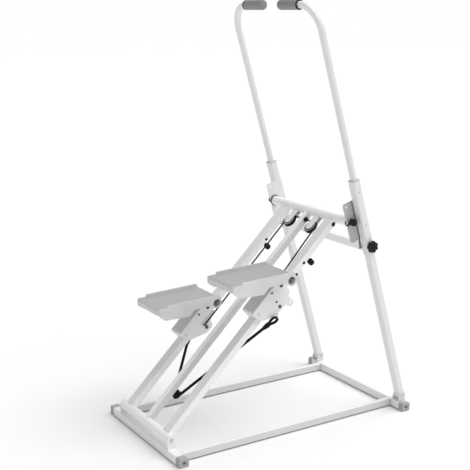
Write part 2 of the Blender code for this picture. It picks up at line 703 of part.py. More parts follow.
def make_rope_run(hand, side, rest):
    """Half of the rope: round its side of the roller, then up to the stud outside its carriage."""
    wrap = ROPE_ROLLER_RADIUS + ROPE_RADIUS - ROPE_SINK
    out = -ROPE_ROLLER_DROP
    centre = Vector((0.0, ROPE_ROLLER_ALONG))
    end = Vector((side * (RAIL_X + CARRIAGE_OUTER + ROPE_END_OFF),
                  rest + ROPE_STUD[0] - CARRIAGE_STUD_RADIUS - SEAT_GAP))
    away = end - centre
    end.y -= ROPE_RADIUS * abs(away.x) / away.length / 2
    leave = atan2(away.y, side * away.x) - pi / 2
    flat = ROPE_RADIUS / 2
    bend = [(SEAT_GAP / 2, -wrap), (flat, -wrap)] + arc((0.0, 0.0), wrap, 2 * flat / wrap - pi / 2, leave, 4)
    points = [Vector((side * x, ROPE_ROLLER_ALONG + y, out)) for x, y in bend]
    last = Vector((end.x, end.y, ROPE_STUD[1] - ROPE_END_DROP))
    points += [points[-1].lerp(last, i / 4) for i in range(1, 5)]
    cord_piece(f"rope_run_{hand}", points, ROPE_RADIUS, BLACK, RAILS)


def make_bumper(hand, side):
    """A rubber stop on a short neck under the rail."""
    neck, body = -BUMPER_NECK, -BUMPER_NECK - BUMPER_LENGTH
    edge = BUMPER_RADIUS / 4
    profile = [(0.0, 0.0), (BUMPER_NECK_RADIUS, 0.0), (BUMPER_NECK_RADIUS, neck), (BUMPER_RADIUS, neck),
               (BUMPER_RADIUS, body + edge), (BUMPER_RADIUS - edge, body), (0.0, body)]
    place = (side * RAIL_X, RAIL_REACH - BUMPER_DROP, -RAIL_DEPTH / 2 - SEAT_GAP)
    turned_piece(f"bumper_{hand}", profile, RUBBER, place, ACROSS_Z, RAILS, steps=CIRCLE_STEPS)


def hinge_ear():
    """The part of a side plate's outline about the pedal tube, from its front edge round to its back."""
    return arc((HINGE_ALONG, HINGE_OUT), HINGE_EAR_RADIUS, radians(125), radians(-70), 8)


def plate_front():
    """The part of a side plate's outline in front of the rail, from its lower end to the web's top."""
    corners = [(PLATE_FOOT, 0.0020, 0.003), (PLATE_FOOT, WEB_OUT, WEB_TURN), (WEB_TOP, WEB_OUT, 0.0),
               (WEB_TOP, 0.0, 0.0)]
    return rounded(corners)[:-1]


def outer_plate_outline():
    """The side plate away from the middle: it carries the tab and the rope."""
    front = plate_front()
    ear = hinge_ear()
    back = rounded([(*ear[-1], 0.0), (0.1350, 0.0100, 0.006), (0.1331, -0.0213, 0.004),
                    (0.1172, -0.0270, 0.004),
                    (TAB_HOLE[0] + TAB_RADIUS, TAB_HOLE[1] - TAB_RADIUS, TAB_RADIUS),
                    (TAB_HOLE[0] - TAB_RADIUS, TAB_HOLE[1] - TAB_RADIUS, TAB_RADIUS),
                    (0.0884, -0.0405, 0.004), (0.0430, -0.0367, 0.006), (0.0071, -0.0163, 0.020),
                    (PLATE_FOOT, 0.0020, 0.0)])[1:-1]
    return front + ear + back


def inner_plate_outline():
    """The side plate next to the middle rail: it has a round lobe that the cable is fixed to."""
    front = plate_front()
    ear = hinge_ear()
    back = rounded([(*ear[-1], 0.0), (0.1350, 0.0080, 0.006), (0.1296, -0.0127, 0.006),
                    (0.0990, -0.0160, 0.006), (0.0900, -0.0450, 0.016), (0.0539, -0.0401, 0.012),
                    (PLATE_FOOT, 0.0020, 0.0)])[1:-1]
    return front + ear + back


def web_profile(sink):
    """The web's side view: flat in front of the rail, and bent in across the bracket's lower end."""
    out, low = WEB_OUT - sink, PLATE_FOOT + sink
    return rounded([(WEB_TOP, out, 0.0), (low, out, WEB_TURN), (low, WEB_END_OUT, 0.0),
                    (low + SHEET, WEB_END_OUT, 0.0),
                    (low + SHEET, out - SHEET, WEB_TURN - SHEET), (WEB_TOP, out - SHEET, 0.0)])


def side_plate(name, outline, holes, x):
    tube_hole = circle((HINGE_ALONG, HINGE_OUT), PEDAL_TUBE_RADIUS + SEAT_GAP, TUBE_STEPS)
    return flat_piece(name, [outline, tube_hole] + holes, SHEET, WHITE, (x, 0.0, 0.0), ACROSS_X)


def make_carriage_bracket(hand, side, carriage):
    """Two side plates, the web that joins them in front, three axles and the two studs."""
    centre = (CARRIAGE_INNER + SHEET / 2) * side
    fixing = [circle(FIXING_HOLE_FRONT, FIXING_HOLE_RADIUS, 8)]
    others = [circle(FIXING_HOLE_MIDDLE, FIXING_HOLE_RADIUS, 8), circle(TAB_HOLE, TAB_HOLE_RADIUS, 10)]
    name = f"carriage_bracket_{hand}"
    bracket = side_plate(name, outer_plate_outline(), fixing + others, centre)
    inner = side_plate(name + "_inner", inner_plate_outline(), fixing, -centre)
    bite = SHEET / 8
    across = 2 * (CARRIAGE_INNER + bite)
    web = flat_piece(name + "_web", [web_profile(bite)], across, None, (0, 0, 0), ACROSS_X)
    shapes = [inner, web]
    axles = ((0.0, FRONT_AXLE_OUT), (UPPER_AXLE_ALONG, FRONT_AXLE_OUT), (REAR_AXLE_ALONG, REAR_AXLE_OUT))
    for number, (along, out) in enumerate(axles, 1):
        profile = pin_profile(AXLE_RADIUS, CARRIAGE_OUTER, PIN_HEAD_RADIUS, PIN_HEAD_HEIGHT * 0.7,
                              head_sink=bite)
        shapes.append(turned_piece(f"{name}_axle_{number}", profile, None, (0.0, along, out), ALONG_X,
                                   steps=PIN_STEPS))
    studs = (("cable", -side, CABLE_STUD, CABLE_STUD_LENGTH), ("rope", side, ROPE_STUD, ROPE_STUD_LENGTH))
    for use, way, place, length in studs:
        start = CARRIAGE_OUTER - SHEET / 2
        top = SHEET / 2 + length
        profile = [(0.0, top), (CARRIAGE_STUD_HEAD, top), (CARRIAGE_STUD_HEAD, top - 0.002),
                   (CARRIAGE_STUD_RADIUS, top - 0.002), (CARRIAGE_STUD_RADIUS, 0.0), (0.0, 0.0)]
        shapes.append(turned_piece(f"{name}_{use}_stud", profile, None, (way * start, *place),
                                   ALONG_X if way > 0 else ALONG_MINUS_X))
    for shape in shapes:
        shape.parent = carriage
        join(bracket, shape)
    bracket.parent = carriage
    return bracket


def make_rollers(hand, carriage):
    """Two rollers on the rail's front face and one behind it."""
    rollers = ((f"front_roller_lower_{hand}", 0.0, FRONT_AXLE_OUT, FRONT_ROLLER_RADIUS),
               (f"front_roller_upper_{hand}", UPPER_AXLE_ALONG, FRONT_AXLE_OUT, FRONT_ROLLER_RADIUS),
               (f"rear_roller_{hand}", REAR_AXLE_ALONG, REAR_AXLE_OUT, REAR_ROLLER_RADIUS))
    half = ROLLER_WIDTH / 2
    bore = AXLE_RADIUS + SEAT_GAP
    for name, along, out, radius in rollers:
        profile = [(bore, half), (radius, half), (radius, -half), (bore, -half)]
        turned_piece(name, profile, BLACK, (0.0, along, out), ALONG_X, carriage, steps=TUBE_STEPS,
                     closed=True)


def to_pedal(along, out):
    """A point of the carriage's side view as (y, z) of the pedal, whose origin is its hinge."""
    turn = RAIL_INCLINE - PEDAL_TILT
    y, z = along - HINGE_ALONG, out - HINGE_OUT
    return y * cos(turn) - z * sin(turn), y * sin(turn) + z * cos(turn)


def flange_outline():
    """A pedal's side flange: deep in front, cut away behind, round about the tube."""
    edge = -0.0050
    start = -pi - asin(edge / HINGE_EAR_RADIUS)
    wrap = arc((0.0, 0.0), HINGE_EAR_RADIUS, start, 0.0, 10)
    corners = [(HINGE_EAR_RADIUS, 0.0120, 0.004), (0.0120, FLANGE_TOP, 0.010),
               (FLANGE_STEP, FLANGE_TOP, 0.003),
               (FLANGE_STEP - 0.002, PLATE_TOP + 0.001, 0.002), (FLANGE_FRONT, PLATE_TOP + 0.001, 0.006),
               (FLANGE_FRONT, -0.004, 0.006), (-0.2050, -0.0215, 0.006), (-0.1110, -0.0262, 0.005),
               (-0.0960, -0.0105, 0.005), (-0.0870, edge, 0.005), (-0.0300, edge, 0.0),
               (HINGE_EAR_RADIUS, 0.0, 0.0)]
    return rounded(corners)[:-2] + wrap


def stop_rib_outline(stop):
    """A rib under the tread that carries the stop bar."""
    under = PLATE_TOP - PEDAL_SHEET + SHEET / 8
    foot = arc(stop, STOP_BAR_RADIUS, -pi, 0.0, 6)
    return foot + [(stop[0] + 0.014, under), (stop[0] - 0.014, under)]


def corner_wall_outline(way):
    """A quarter ring that carries the tread's front lip round to its flange."""
    outer = PEDAL_HALF_WIDTH - SHEET / 8
    centre = (way * (outer - PLATE_CORNER), PLATE_FRONT + SHEET / 8 + PLATE_CORNER)
    turn = pi / 2 * way
    return (arc(centre, PLATE_CORNER, -pi / 2, turn - pi / 2, 5)
            + arc(centre, PLATE_CORNER - PEDAL_SHEET, turn - pi / 2, -pi / 2, 5))


def pedal_plate_profile():
    """The tread's side view: flat, with its front edge turned down."""
    top, under = PLATE_TOP, PLATE_TOP - PEDAL_SHEET
    radius = PLATE_LIP_RADIUS
    bend = (PLATE_FRONT + radius, PLATE_TOP - radius)
    outside = arc(bend, radius, pi / 2, pi, 5)
    inside = arc(bend, radius - PEDAL_SHEET, pi, pi / 2, 5)
    lip = PLATE_TOP - PLATE_LIP
    return [(PLATE_REAR, under), (PLATE_REAR, top)] + outside + [(PLATE_FRONT, lip),
                                                                 (PLATE_FRONT + PEDAL_SHEET, lip)] + inside


def under_tread_outline():
    """Everything below the tread's top surface, seen from the side: its corner walls are kept inside it."""
    sink = SHEET / 16
    bend = (PLATE_FRONT + PLATE_LIP_RADIUS, PLATE_TOP - PLATE_LIP_RADIUS)
    roll = arc(bend, PLATE_LIP_RADIUS - sink, pi / 2, pi, 5)
    return [(0.0, PLATE_TOP - sink)] + roll + [(roll[-1][0], -FLANGE_TOP), (0.0, -FLANGE_TOP)]


def make_pedal(hand, carriage):
    """A pressed tread between two flanges, with a stop bar on two ribs that rests on the carriage's web."""
    name = f"pedal_{hand}"
    hinge = make_empty(f"{name}_hinge", (0.0, HINGE_ALONG, HINGE_OUT), (PEDAL_TILT - RAIL_INCLINE, 0.0, 0.0),
                       carriage)
    stop = to_pedal(STOP_BAR_ALONG, WEB_OUT + SEAT_GAP + STOP_BAR_RADIUS)
    inner = PEDAL_HALF_WIDTH - SHEET
    bite = SHEET / 8
    across = 2 * (inner + bite)
    pedal = flat_piece(name, [pedal_plate_profile()], across, PEDAL_GREY, (0, 0, 0), ACROSS_X, hinge)
    plan = rounded([(-PEDAL_HALF_WIDTH, PLATE_FRONT - 0.001, PLATE_CORNER),
                    (PEDAL_HALF_WIDTH, PLATE_FRONT - 0.001, PLATE_CORNER),
                    (PEDAL_HALF_WIDTH, PLATE_REAR + 0.01, 0.0), (-PEDAL_HALF_WIDTH, PLATE_REAR + 0.01, 0.0)])
    keep_inside(pedal, flat_piece(name + "_plan", [plan], 4 * FLANGE_TOP, None, (0, 0, 0), ACROSS_Z, hinge))
    hole = circle((0.0, 0.0), PEDAL_TUBE_RADIUS + RUN_GAP, TUBE_STEPS)
    lip = PLATE_LIP - PEDAL_SHEET
    for way in SIDES.values():
        x = way * (PEDAL_HALF_WIDTH - SHEET / 2)
        join(pedal, flat_piece(f"{name}_flange", [flange_outline(), hole], SHEET, None, (x, 0, 0), ACROSS_X,
                               hinge))
        wall = flat_piece(f"{name}_corner", [corner_wall_outline(way)], lip, None,
                          (0.0, 0.0, PLATE_TOP - PEDAL_SHEET / 2 - lip / 2), ACROSS_Z, hinge)
        keep_inside(wall, flat_piece(f"{name}_under", [under_tread_outline()], 4 * PEDAL_HALF_WIDTH, None,
                                     (0, 0, 0), ACROSS_X, hinge))
        join(pedal, wall)
        join(pedal, flat_piece(f"{name}_rib", [stop_rib_outline(stop)], SHEET, None,
                               (way * (STOP_BAR_HALF - SHEET / 2), 0, 0), ACROSS_X, hinge))
    profile = [(0.0, STOP_BAR_HALF - bite), (STOP_BAR_RADIUS - bite, STOP_BAR_HALF - bite),
               (STOP_BAR_RADIUS - bite, bite - STOP_BAR_HALF), (0.0, bite - STOP_BAR_HALF)]
    join(pedal, turned_piece(f"{name}_stop_bar", profile, None, (0.0, *stop), ALONG_X, hinge,
                             steps=PIN_STEPS))


def make_carriage(hand, side, rest):
    carriage = make_empty(f"carriage_{hand}", (side * RAIL_X, rest, 0.0), parent=RAILS)
    make_carriage_bracket(hand, side, carriage)
    make_rollers(hand, carriage)
    tube_piece(f"pedal_tube_{hand}", PEDAL_TUBE_RADIUS, PEDAL_TUBE_WALL, PEDAL_HALF_WIDTH, WHITE,
               (0.0, HINGE_ALONG, HINGE_OUT), carriage)
    make_pedal(hand, carriage)


def make_post(hand, side):
    """A leaning tube, turning on its bolt."""
    length = POST_FOOT + POST_TOP
    middle = (POST_TOP - POST_FOOT) / 2
    post = flat_piece(f"post_{hand}", tube_section(POST_WIDTH, POST_DEPTH, POST_CORNER), length, WHITE,
                      (side * POST_X, 0.0, middle), ACROSS_Z, POSTS)
    cut(post, round_cutter(f"post_{hand}_bolt_hole", PIVOT_ROD_RADIUS + SEAT_GAP, 2 * POST_WIDTH,
                           (side * POST_X, 0.0, 0.0), parent=POSTS))
    cut(post, knob_hole(f"post_{hand}_knob_hole", side))


def knob_hole(name, side):
    """The hole for the star knob's stud, through the outer walls only."""
    return round_cutter(name, STUD_RADIUS + SEAT_GAP, POST_WIDTH, (side * (POST_X + POST_WIDTH / 2), 0.0,
                        STAR_KNOB_HEIGHT), parent=POSTS)


def lock_plate_outline():
    """The plate that clamps the upper tube, on Y and Z of the post, from the tube's axis."""
    front = -LOCK_PLATE_FRONT
    back = LOCK_OFFSET + POST_DEPTH / 2
    top, bottom = LOCK_PLATE_TOP, -LOCK_PLATE_BOTTOM
    return rounded([(front, top - LOCK_PLATE_RISE, LOCK_PLATE_CORNER), (back, top, 0.0), (back, bottom, 0.0),
                    (front, bottom, LOCK_PLATE_CORNER)])


def lock_slot_outline():
    """The slot that lets the lock stud out of the plate, forwards and down, from a round end at 0, 0."""
    half = STUD_RADIUS + RUN_GAP
    reach = 3 * LOCK_PLATE_FRONT
    return arc((0.0, 0.0), half, -pi / 2, pi / 2, 8) + [(-reach, half), (-reach, -half)]


def make_sleeve(hand, side):
    """The sleeve round the post's upper half, with its locking plate welded on the inner face."""
    outer_width = 2 * SLEEVE_HALF_WIDTH
    outer_depth = POST_DEPTH + 2 * (SEAT_GAP + SLEEVE_WALL)
    length = POST_TOP - SLEEVE_BOTTOM
    section = tube_section(outer_width, outer_depth, POST_CORNER + SLEEVE_WALL, SLEEVE_WALL)
    sleeve = flat_piece(f"sleeve_{hand}", section, length, WHITE,
                        (side * POST_X, 0.0, (POST_TOP + SLEEVE_BOTTOM) / 2), ACROSS_Z, POSTS)
    bite = SLEEVE_WALL / 5
    x = side * (SLEEVE_INNER_X + bite - LOCK_PLATE_THICKNESS / 2)
    axis = (x, -LOCK_OFFSET, LOCK_HEIGHT)
    hole = circle((-SPARE_HOLE_FORWARD, SPARE_HOLE_ABOVE), SPARE_HOLE_RADIUS, 12)
    plate = flat_piece(f"lock_plate_{hand}", [lock_plate_outline(), hole], LOCK_PLATE_THICKNESS, None, axis,
                       ACROSS_X, POSTS)
    slot = flat_piece(f"lock_slot_{hand}", [lock_slot_outline()], 4 * LOCK_PLATE_THICKNESS, None, axis,
                      (pi / 2 + LOCK_SLOT_DIP, 0.0, pi / 2), POSTS)
    cut(join(sleeve, plate), slot)
    cut(sleeve, knob_hole(f"sleeve_{hand}_knob_hole", side))


def make_crossbar():
    """The flat tube between the two sleeves."""
    half = SLEEVE_INNER_X - SEAT_GAP
    y = CROSSBAR_DEPTH / 2 - CROSSBAR_FRONT
    z = CROSSBAR_BOTTOM + CROSSBAR_HEIGHT / 2
    section = tube_section(CROSSBAR_DEPTH, CROSSBAR_HEIGHT, RAIL_CORNER)
    flat_piece("post_crossbar", section, 2 * half, WHITE, (0.0, y, z), ACROSS_X, POSTS)


def make_collar(hand, side):
    """A plastic bush: a rim on the post's top, and a skirt between the post and the handle's tube."""
    bore = rectangle(HANDLE_WIDTH + 2 * SEAT_GAP, HANDLE_DEPTH + 2 * SEAT_GAP, HANDLE_CORNER)
    inset = 2 * (TUBE_WALL + SEAT_GAP)
    rim_width = 2 * (SLEEVE_HALF_WIDTH + COLLAR_RIM)
    rim_depth = POST_DEPTH + 2 * (SEAT_GAP + SLEEVE_WALL + COLLAR_RIM)
    rim = rectangle(rim_width, rim_depth, POST_CORNER + SLEEVE_WALL)
    skirt = rectangle(POST_WIDTH - inset, POST_DEPTH - inset, POST_CORNER - TUBE_WALL)
    x = side * POST_X
    name = f"post_collar_{hand}"
    collar = flat_piece(name, [rim, bore], COLLAR_HEIGHT, CAP_GREY,
                        (x, 0.0, POST_TOP + SEAT_GAP + COLLAR_HEIGHT / 2), ACROSS_Z, POSTS)
    depth = COLLAR_SKIRT + COLLAR_HEIGHT / 2
    join(collar, flat_piece(name + "_skirt", [skirt, rectangle(HANDLE_WIDTH + 2 * SEAT_GAP,
                            HANDLE_DEPTH + 2 * SEAT_GAP, HANDLE_CORNER)], depth, None,
                            (x, 0.0, POST_TOP + SEAT_GAP + COLLAR_HEIGHT / 2 - depth / 2), ACROSS_Z, POSTS))


def make_star_knob(hand, side):
    """A lobed knob whose stud reaches through the sleeve and the post to the handle's tube."""
    seat = POST_X + SLEEVE_HALF_WIDTH + RUN_GAP
    stud = seat - POST_X - HANDLE_WIDTH / 2 - RUN_GAP
    outline = []
    ring = STAR_RADIUS - STAR_LOBE_RADIUS
    for lobe in range(STAR_LOBES):
        turn = 2 * pi * lobe / STAR_LOBES
        centre = (ring * cos(turn), ring * sin(turn))
        outline += arc(centre, STAR_LOBE_RADIUS, turn - radians(72), turn + radians(72), 3)
    name = f"star_knob_{hand}"
    place = Vector((side * seat, 0.0, STAR_KNOB_HEIGHT))
    turned = ALONG_X if side > 0 else ALONG_MINUS_X
    head = flat_piece(name, [outline], STAR_THICKNESS, BLACK, place + Vector((side * (STAR_HUB_LENGTH
                      + STAR_THICKNESS / 2 - 0.002), 0, 0)), turned, POSTS)
    end = STAR_HUB_LENGTH + STAR_THICKNESS
    profile = [(0.0, end), (STAR_HUB_RADIUS * 0.7, end), (STAR_HUB_RADIUS * 0.85, end - 0.003),
               (STAR_HUB_RADIUS, 0.0), (STUD_RADIUS, 0.0), (STUD_RADIUS, -stud), (0.0, -stud)]
    join(head, turned_piece(name + "_hub", profile, None, place, turned, POSTS, steps=CIRCLE_STEPS))


def make_handle(hand, side):
    """A tube that slides in the post, bent inwards at the top, with a foam grip on its end."""
    slide = make_empty(f"handle_{hand}_slide", (side * POST_X, 0.0, 0.0), parent=POSTS)
    profile = bpy.data.curves.new(f"handle_section_{hand}", "CURVE")
    profile.dimensions = "2D"
    outline = rectangle(HANDLE_WIDTH, HANDLE_DEPTH, HANDLE_CORNER)
    spline = profile.splines.new("POLY")
    spline.points.add(len(outline) - 1)
    for point, (x, y) in zip(spline.points, outline):
        point.co = (x, y, 0.0, 1.0)
    spline.use_cyclic_u = True
    section = bpy.data.objects.new(profile.name, profile)
    PARTS.objects.link(section)
    bend = (-HANDLE_BEND_RADIUS, GRIP_HEIGHT - HANDLE_BEND_RADIUS)
    reach = POST_X - HANDLE_END_X
    sweep = [(0.0, HANDLE_BOTTOM)] + arc(bend, HANDLE_BEND_RADIUS, 0.0, pi / 2, 7) + [(-reach, GRIP_HEIGHT)]
    points = [(side * x, 0.0, z) for x, z in sweep]
    name = f"handle_{hand}"
    mesh = mesh_of(path_curve(name, points, bevel=section), name)
    bpy.data.objects.remove(section, do_unlink=True)
    shade(mesh)
    handle = add_object(name, mesh, WHITE, (0, 0, 0), (0, 0, 0), slide)
    wall = handle.modifiers.new("Wall", "SOLIDIFY")
    wall.thickness = TUBE_WALL
    wall.offset = -1.0
    make_grip(hand, side, slide)


def make_grip(hand, side, slide):
    """A foam sleeve with a closed, rounded end."""
    length = GRIP_OUTER_X - GRIP_INNER_X
    half = length / 2
    edge = arc((GRIP_RADIUS - GRIP_EDGE, half - GRIP_EDGE), GRIP_EDGE, pi / 2, 0.0, 2)
    profile = [(0.0, half)] + edge + [(r, -z) for r, z in reversed(edge)] + [(0.0, -half)]
    place = (side * ((GRIP_OUTER_X + GRIP_INNER_X) / 2 - POST_X), 0.0, GRIP_HEIGHT)
    name = f"grip_{hand}"
    grip = turned_piece(name, profile, FOAM, place, ALONG_X, slide, steps=TUBE_STEPS)
    bore = rectangle(HANDLE_WIDTH + 2 * SEAT_GAP, HANDLE_DEPTH + 2 * SEAT_GAP, HANDLE_CORNER)
    bore_length = 2 * (GRIP_OUTER_X - HANDLE_END_X + SEAT_GAP)
    cut(grip, flat_piece(name + "_bore", [bore], bore_length, None,
                         (side * (GRIP_OUTER_X - POST_X), 0.0, GRIP_HEIGHT), ALONG_X, slide))


clear_scene()
PARTS = new_collection("vertical_climber")
CUTTERS = new_collection("cutters")
WHITE = make_material("white_paint", WHITE_PAINT)
PEDAL_GREY = make_material("pedal_paint", PEDAL_PAINT)
CAP_GREY = make_material("grey_plastic", GREY_PLASTIC)
FOAM = make_material("grey_foam", GREY_FOAM)
BLACK = make_material("black_plastic", BLACK_PLASTIC)
RUBBER = make_material("black_rubber", BLACK_RUBBER)
STEEL = make_material("plated_steel", PLATED_STEEL)
RAILS = make_empty("rails_fold", FRONT_PIVOT, (RAIL_INCLINE, 0.0, 0.0))
POSTS = make_empty("posts_fold", POST_PIVOT, (POST_LEAN, 0.0, 0.0))
RESTS = {"left": LEFT_CARRIAGE_REST, "right": RIGHT_CARRIAGE_REST}

make_base_bars()
make_side_bars()
make_front_rod()
make_lower_tube()
make_rails()
make_upper_tube()
make_cable_top()
make_rope_roller()
make_crossbar()
for HAND, SIDE in SIDES.items():
    make_rear_bracket(HAND, SIDE)
    make_lock_knob(HAND, SIDE)
    make_pulley(HAND, SIDE)
    make_cable_run(HAND, SIDE, RESTS[HAND])
    make_rope_run(HAND, SIDE, RESTS[HAND])
    make_bumper(HAND, SIDE)
    make_carriage(HAND, SIDE, RESTS[HAND])
    make_post(HAND, SIDE)
    make_sleeve(HAND, SIDE)
    make_collar(HAND, SIDE)
    make_star_knob(HAND, SIDE)
    make_handle(HAND, SIDE)
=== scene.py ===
"""The looks of the vertical climber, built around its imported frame. Metres, +Z up, origin on the floor."""

from math import asin, atan2, ceil, cos, pi, radians, sin, sqrt, tan

import bmesh
import bpy
from mathutils import Matrix, Vector


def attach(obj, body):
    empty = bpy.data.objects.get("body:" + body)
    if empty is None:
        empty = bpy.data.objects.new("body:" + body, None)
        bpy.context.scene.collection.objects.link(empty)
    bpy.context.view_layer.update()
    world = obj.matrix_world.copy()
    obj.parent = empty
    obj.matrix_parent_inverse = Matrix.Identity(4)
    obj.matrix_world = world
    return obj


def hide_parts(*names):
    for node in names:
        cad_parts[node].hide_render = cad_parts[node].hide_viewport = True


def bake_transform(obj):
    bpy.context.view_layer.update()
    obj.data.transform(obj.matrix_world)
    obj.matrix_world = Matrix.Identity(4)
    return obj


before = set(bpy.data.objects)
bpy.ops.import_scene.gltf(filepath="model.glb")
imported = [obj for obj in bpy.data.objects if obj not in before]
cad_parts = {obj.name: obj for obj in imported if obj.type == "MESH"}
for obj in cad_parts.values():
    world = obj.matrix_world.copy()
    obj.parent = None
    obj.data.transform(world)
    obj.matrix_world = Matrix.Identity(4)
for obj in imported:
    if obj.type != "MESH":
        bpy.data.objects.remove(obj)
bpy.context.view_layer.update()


# The photograph was taken with a long lens from the machine's front right, a little above the pedals.
# The camera was fitted to the frame's straight edges.
scene = bpy.context.scene


def linked(name, data):
    """The data as an object of the scene."""
    item = bpy.data.objects.new(name, data)
    scene.collection.objects.link(item)
    return item


camera_data = bpy.data.cameras.new("photo_camera")
camera_data.lens = 74.59
camera_data.clip_end = 60.0
camera = linked("photo_camera", camera_data)
camera.location = (2.7692, -1.8216, 1.4198)
camera.rotation_euler = (radians(77.01), 0.0, radians(58.14))
scene.camera = camera
scene.view_settings.view_transform = "Standard"


# The room is a white sweep. Its floor takes the soft shadow, and both send the camera, and what mirrors
# the room, plain white. Every material is written through one small class that turns sums into nodes.
class Channel:
    """A shader socket. Sums on it add Math nodes to its material's tree, and add() adds any other node."""

    def __init__(self, tree, socket=None):
        self.tree = tree
        self.socket = socket

    def add(self, kind, values=(), settings=(), out=0):
        node = self.tree.nodes.new(kind)
        for name, value in dict(settings).items():
            if name == "stops":
                self.fill_ramp(node.color_ramp, value)
            else:
                setattr(node, name, value)
        for name, value in dict(values).items():
            if isinstance(value, Channel):
                self.tree.links.new(value.socket, node.inputs[name])
            else:
                node.inputs[name].default_value = value
        return Channel(self.tree, node.outputs[out])

    @staticmethod
    def fill_ramp(ramp, stops):
        while len(ramp.elements) < len(stops):
            ramp.elements.new(0.5)
        for element, (place, grey) in zip(ramp.elements, stops):
            element.position = place
            element.color = (grey, grey, grey, 1.0)

    def math(self, operation, a, b=0.0):
        return self.add("ShaderNodeMath", {0: a, 1: b}, {"operation": operation})

    def __add__(self, other):
        return self.math("ADD", self, other)

    def __mul__(self, other):
        return self.math("MULTIPLY", self, other)

    def at_least(self, other):
        return self.math("MAXIMUM", self, other)


class Finish:
    """A material with one Principled shader, its slot, and the patterns its surface is written with."""

    def __init__(self, name, slot, colour, roughness, metallic=0.0, **sockets):
        self.slot = slot
        self.material = bpy.data.materials.new(name)
        self.material.use_nodes = True
        self.tree = self.material.node_tree
        self.shader = self.tree.nodes["Principled BSDF"]
        self.paper = Channel(self.tree)
        self.place = self.paper.add("ShaderNodeTexCoord", out="Object")
        self.set("Base Color", (*colour, 1.0))
        self.set("Roughness", roughness)
        self.set("Metallic", metallic)
        for socket, value in sockets.items():
            self.set(socket.replace("_", " "), value)

    def set(self, socket, value):
        if isinstance(value, Channel):
            self.tree.links.new(value.socket, self.shader.inputs[socket])
        else:
            self.shader.inputs[socket].default_value = value

    def noise(self, size, detail=2.0, vector=None):
        """Noise whose blobs are about size metres across."""
        values = {"Vector": vector or self.place, "Scale": 1.0 / size, "Detail": detail}
        return self.paper.add("ShaderNodeTexNoise", values)

    def stretched(self, x, y, z):
        """The surface's place, scaled apart along X, Y and Z."""
        return self.paper.add("ShaderNodeMapping", {"Vector": self.place, "Scale": (x, y, z)})

    def mixed(self, mask, dark, light):
        values = {0: mask, 6: (*dark, 1.0), 7: (*light, 1.0)}
        return self.paper.add("ShaderNodeMix", values, {"data_type": "RGBA"}, out=2)

    def tinted(self, mask, colour, low, high):
        """The colour, times low where the mask is dark and times high where it is light."""
        return self.mixed(mask, *(tuple(min(1.0, c * scale) for c in colour) for scale in (low, high)))

    def shaded(self, colour):
        """The colour, darkened by the painted shade that the mesh stores as "shade" on the faces that carry
        one.
        """
        shade = self.paper.add("ShaderNodeAttribute", settings={"attribute_name": "shade"}, out="Fac")
        values = {0: shade, 6: colour, 7: (0.0, 0.0, 0.0, 1.0)}
        return self.paper.add("ShaderNodeMix", values, {"data_type": "RGBA"}, out=2)

    def bump(self, height, depth, strength=1.0):
        values = {"Height": height, "Distance": depth, "Strength": strength}
        self.set("Normal", self.paper.add("ShaderNodeBump", values))


def seen_rays(channel):
    """1 where the camera, a mirror or a glass looks, 0 where a surface gathers its light."""
    rays = [channel.add("ShaderNodeLightPath", out=f"Is {kind} Ray")
            for kind in ("Camera", "Glossy", "Transmission")]
    return rays[0].at_least(rays[1]).at_least(rays[2])


FLOOR_WHITE = 0.93
FLOOR_LIFT = 0.04
FLOOR_HALF = 30
ROOM_LIGHT = 0.43
floor_paint = Finish("floor_sweep", None, (FLOOR_WHITE,) * 3, 0.9, Specular_IOR_Level=0.0,
                     Emission_Color=(1.0, 1.0, 1.0, 1.0))
floor_paint.set("Emission Strength", seen_rays(floor_paint.paper) * FLOOR_LIFT)
floor_mesh = bpy.data.meshes.new("floor")
floor_corners = [(i * FLOOR_HALF, j * FLOOR_HALF, 0) for i, j in ((-1, -1), (1, -1), (1, 1), (-1, 1))]
floor_mesh.from_pydata(floor_corners, [], [(0, 1, 2, 3)])
floor_mesh.materials.append(floor_paint.material)
floor = linked("floor", floor_mesh)

world = bpy.data.worlds.new("white_room")
world.use_nodes = True
scene.world = world
sky = world.node_tree.nodes["Background"]
sky.inputs["Color"].default_value = (1.0, 1.0, 1.0, 1.0)
room = Channel(world.node_tree)
world.node_tree.links.new((seen_rays(room) * (1.0 - ROOM_LIGHT) + ROOM_LIGHT).socket,
                          sky.inputs["Strength"])
key_light = bpy.data.lights.new("key_sun", "SUN")
key_light.energy = 2.2
key_light.angle = radians(60)
key_sun = linked("key_sun", key_light)
key_sun.rotation_euler = Vector((0.25, 0.424, 0.871)).to_track_quat("Z", "Y").to_euler()


# The base bars are square steel tubes, cut from stock with rounded corners, welded at their joints and
# powder-coated white over the weld. Two round-topped ears stand on the front bar for the hinge rod.
BAR_Y = 0.4515
BAR_DEPTH = 0.0344
BAR_HEIGHT = 0.030
BAR_MIDDLE = 0.016
BAR_TOP = BAR_MIDDLE + BAR_HEIGHT / 2
FRONT_BAR_LENGTH = 0.464
REAR_BAR_LENGTH = 0.533
TUBE_WALL = 0.0015
CUT_EDGE = 0.0004
HAIR = 0.0003
EAR_SHEET = 0.003
EAR_SEAM = 0.013
FLANK_SHADE = 0.22
EDGE_SHADE = 0.8
SIDE_BAR_X = 0.21255
SIDE_BAR_SIZE = (0.0185, 0.027)
EAR_X = 0.1765
EAR_RADIUS = 0.017
FRONT_PIVOT = Vector((0.0, -BAR_Y, 0.0625))
ROD_RADIUS = 0.004
ROD_BORE = ROD_RADIUS + HAIR
ON_YZ = Matrix.Rotation(pi / 2, 4, "Z") @ Matrix.Rotation(pi / 2, 4, "X")
ON_XZ = Matrix.Rotation(pi / 2, 4, "X")
OUTWARD = {1: Matrix.Rotation(pi / 2, 4, "Y"), -1: Matrix.Rotation(-pi / 2, 4, "Y")}
ALONG_X = OUTWARD[1]
